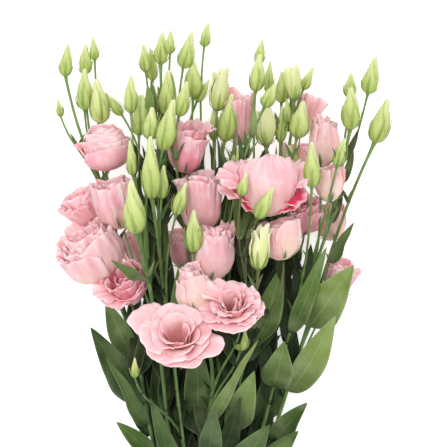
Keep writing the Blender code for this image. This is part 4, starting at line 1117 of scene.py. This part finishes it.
def blocked(points):
    # true where a leaf would run through a flower or hide one from above
    for flower in flowerPlaces.values():
        radius, length = flower["radius"], flower["length"]
        height, away = alongAxis(points, flower["foot"], flower["axis"])
        if ((height > -stray["under"]) & (height < length) & (away < radius * stray["around"])).any():
            return True
        offset = points - flower["foot"]
        flat = math.hypot(*flower["axis"][:2])
        along = offset[:, :2] @ flower["axis"][:2] / flat
        across = np.abs(offset[:, 0] * flower["axis"][1] - offset[:, 1] * flower["axis"][0]) / flat
        over = (along > 0) & (along < length * flat) & (across < stray["beside"] * radius)
        if (over & (offset[:, 2] > 0)).any():
            return True
    return False


def strayLeaf(plan, chance):
    # a foot on a stem and a blade that rises beside it
    points = stemPoints["stem_" + chance.choice(list(plan["stems"]))]
    footY = chance.uniform(plan["from"], plan["to"]) + layoutShift[1]
    foot = points[np.abs(points[:, 1] - footY).argmin()]
    length = chance.uniform(*plan["length"])
    width = chance.uniform(*plan["width"]) * length / plan["length"][1]
    lean = math.radians(chance.uniform(-stray["lean"], stray["lean"])) + stray["fan"] * foot[0]
    tip = foot + length * np.array((math.sin(lean), math.cos(lean), chance.uniform(*stray["climb"])))
    tip[2] = np.clip(tip[2], stray["floor"], plan["ceiling"])
    bulge = np.array((chance.normal(), 0, chance.normal())) * length * stray["bulge"]
    t = np.linspace(0, 1, 14)[:, None]
    middle = foot * (1 - t) + tip * t + bulge * np.sin(math.pi * t)
    turn = math.radians(chance.uniform(-stray["turn"], stray["turn"]))
    return middle, np.repeat([[math.cos(turn), 0.0, math.sin(turn)]], len(t), 0), width


for number, plan in enumerate(foliage):
    chance = np.random.default_rng(7 + number)
    sheets = Sheets()
    made = 0
    left, right = plan["side"]
    while made < plan["count"]:
        middle, side, width = strayLeaf(plan, chance)
        if blocked(middle) or middle[:, 0].min() < left or middle[:, 0].max() > right:
            continue
        addBlade(sheets, middle, side, width, chance.uniform(*plan["light"]), chance)
        made += 1
    newPiece(f"inner_foliage_{number + 1}", sheets, [leafTop, leafUnder], thick=leaf["thick"])
    print("inner foliage made:", made)


# Bracts: the slender leaves where a stalk leaves its stem

bract = {
    "thick": 0.3,
    "length": (11.0, 20.0),
    "width": 2.4,
    "lean": 20.0,  # how far they stand off
    "light": 0.75,
}

# Where the forks stand in the layout.
forks = [(-103, 427), (-96, 406), (-88, 372), (-60, 346), (-52, 350), (-49, 338), (-50, 441), (-48, 402),
         (-30, 382), (-28, 366), (-5, 312), (8, 445), (24, 346), (45, 382), (46, 402), (49, 412),
         (43, 352), (86, 386), (92, 406), (76, 354), (71, 340), (95, 392), (104, 410), (-72, 305), (60, 312),
         (-40, 310), (-115, 455), (99, 440), (-20, 460), (-62, 462), (-36, 448),
         (16, 452), (52, 452)]

# Single young leaves: foot in the layout, length, width, lean to the right, light.
youngLeaves = [
    (-46, 477, 38, 10, 2, 0.95), (-44, 474, 34, 8, -8, 0.8), (-57, 482, 28, 6, -4, 0.8),
    (-52, 478, 24, 6, 10, 0.9), (2, 436, 28, 4, 5, 0.6), (9, 434, 30, 4, -6, 0.5),
    (-3, 430, 24, 4, -10, 0.45), (49, 472, 34, 7, 2, 0.85), (41, 468, 24, 5, -8, 0.8),
    (22, 468, 24, 6, 4, 0.85), (20, 452, 22, 5, -6, 0.6), (104, 446, 30, 5.5, 25, 0.35),
    (99, 394, 29, 5.5, 18, 0.35), (96, 424, 32, 6, 14, 0.5), (93, 406, 30, 6, 10, 0.6),
    (-45, 325, 42, 11, 2, 0.15), (-42, 330, 36, 9, -10, 0.1), (-63, 472, 34, 8, -2, 0.9),
    (-66, 468, 32, 7, 5, 0.8), (-72, 424, 24, 7, -10, 0.2), (-77, 426, 20, 6, 2, 0.15),
    (56, 338, 36, 9, 6, 0.3), (63, 344, 32, 8, 12, 0.3), (60, 330, 34, 9, -6, 0.22),
]


def addSlip(sheets, foot, line, bow, across, width, light, chance):
    # a small leaf from its foot: its straight line, how it bows off that, and the way across it
    middle = foot + line + bow
    addBlade(sheets, middle, np.repeat([across], len(middle), 0), width, light, chance)


chance = np.random.default_rng(31)
sheets = Sheets()
t = np.linspace(0, 1, 9)[:, None]
for fork in forks:
    for side in (-1, 1):
        long = chance.uniform(*bract["length"])
        lean = math.radians(bract["lean"] * side + chance.uniform(-8, 8))
        line = np.array((math.sin(lean), math.cos(lean), 0.25)) * long * t
        bow = np.array((side * 0.12, 0, -0.1)) * long * t**2
        light = chance.uniform(0.6, 1.2) * bract["light"]
        across = (math.cos(lean), -math.sin(lean), 0.4 * side)
        addSlip(sheets, topOfStem(fork), line, bow, across, bract["width"], light, chance)
t = np.linspace(0, 1, 12)[:, None]
for x, y, long, width, lean, light in youngLeaves:
    lean = math.radians(lean)
    line = np.array((math.sin(lean), math.cos(lean), -0.05)) * long * t
    bow = np.array((0.05, 0, 0.1)) * long * np.sin(math.pi * t)
    across = (math.cos(lean), -math.sin(lean), 0.3)
    addSlip(sheets, topOfStem((x, y)), line, bow, across, width, light, chance)
newPiece("fork_bracts", sheets, [leafTop, leafUnder], thick=bract["thick"])
print("bracts made:", 2 * len(forks))


# The rubber band keeps its CAD shape
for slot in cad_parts["rubber_band"].material_slots:
    slot.material = bandRubber


# Table, light and camera

studio = {
    "table": 6000.0,  # from the table's middle to each side
    "below": 0.4,  # how far under the flowers the table lies
    "tableGlow": 0.5,
    "sky": 0.7,
    # soft lamps: name, place in metres, watts and size in metres
    "lamps": [("key_light", (-0.45, 0.4, 1.95), 25.0, 1.2), ("fill_light", (0.9, -0.2, 1.8), 8.0, 1.5)],
    "aim": (0.0, 0.13, 0.05),  # the point in metres that they are turned to
}


def makeTable():
    x, z = studio["table"] * mm, -studio["below"] * mm
    mesh = bpy.data.meshes.new("table_top")
    mesh.from_pydata([(-x, -x, z), (x, -x, z), (x, x, z), (-x, x, z)], [], [(0, 1, 2, 3)])
    # Matt white paper backdrop, lit so that it reads as white
    paper, _ = newMaterial("white_paper_backdrop", {
        "Base Color": "#f7f7f7", "Roughness": 0.9, "Emission Color": "#ffffff",
        "Emission Strength": studio["tableGlow"]})
    mesh.materials.append(paper)
    addObject("table_top", mesh)


def makeLight(name, place, watts, size):
    light = bpy.data.lights.new(name, "AREA")
    light.energy = watts
    light.size = size
    lamp = addObject(name, light)
    lamp.location = place
    aim = np.array(studio["aim"]) - np.array(place)
    lamp.rotation_euler = (math.acos(-aim[2] / np.linalg.norm(aim)), 0, math.atan2(aim[0], -aim[1]))


makeTable()
for lamp in studio["lamps"]:
    makeLight(*lamp)
world = bpy.data.worlds.new("studio")
world.use_nodes = True
sky = world.node_tree.nodes["Background"].inputs
sky["Color"].default_value = linearColour("#ffffff")
sky["Strength"].default_value = studio["sky"]
bpy.context.scene.world = world
bpy.context.scene.view_settings.view_transform = "Standard"  # petals keep the hues they are given

camera = bpy.data.cameras.new("camera")
camera.lens = view["lens"]
camera.sensor_width = view["sensor"]
viewer = addObject("camera", camera)
viewer.location = (view["middle"][0] * mm, view["middle"][1] * mm, view["height"] * mm)
bpy.context.scene.camera = viewer
print("table, light and camera ready")

bpy.context.view_layer.update()
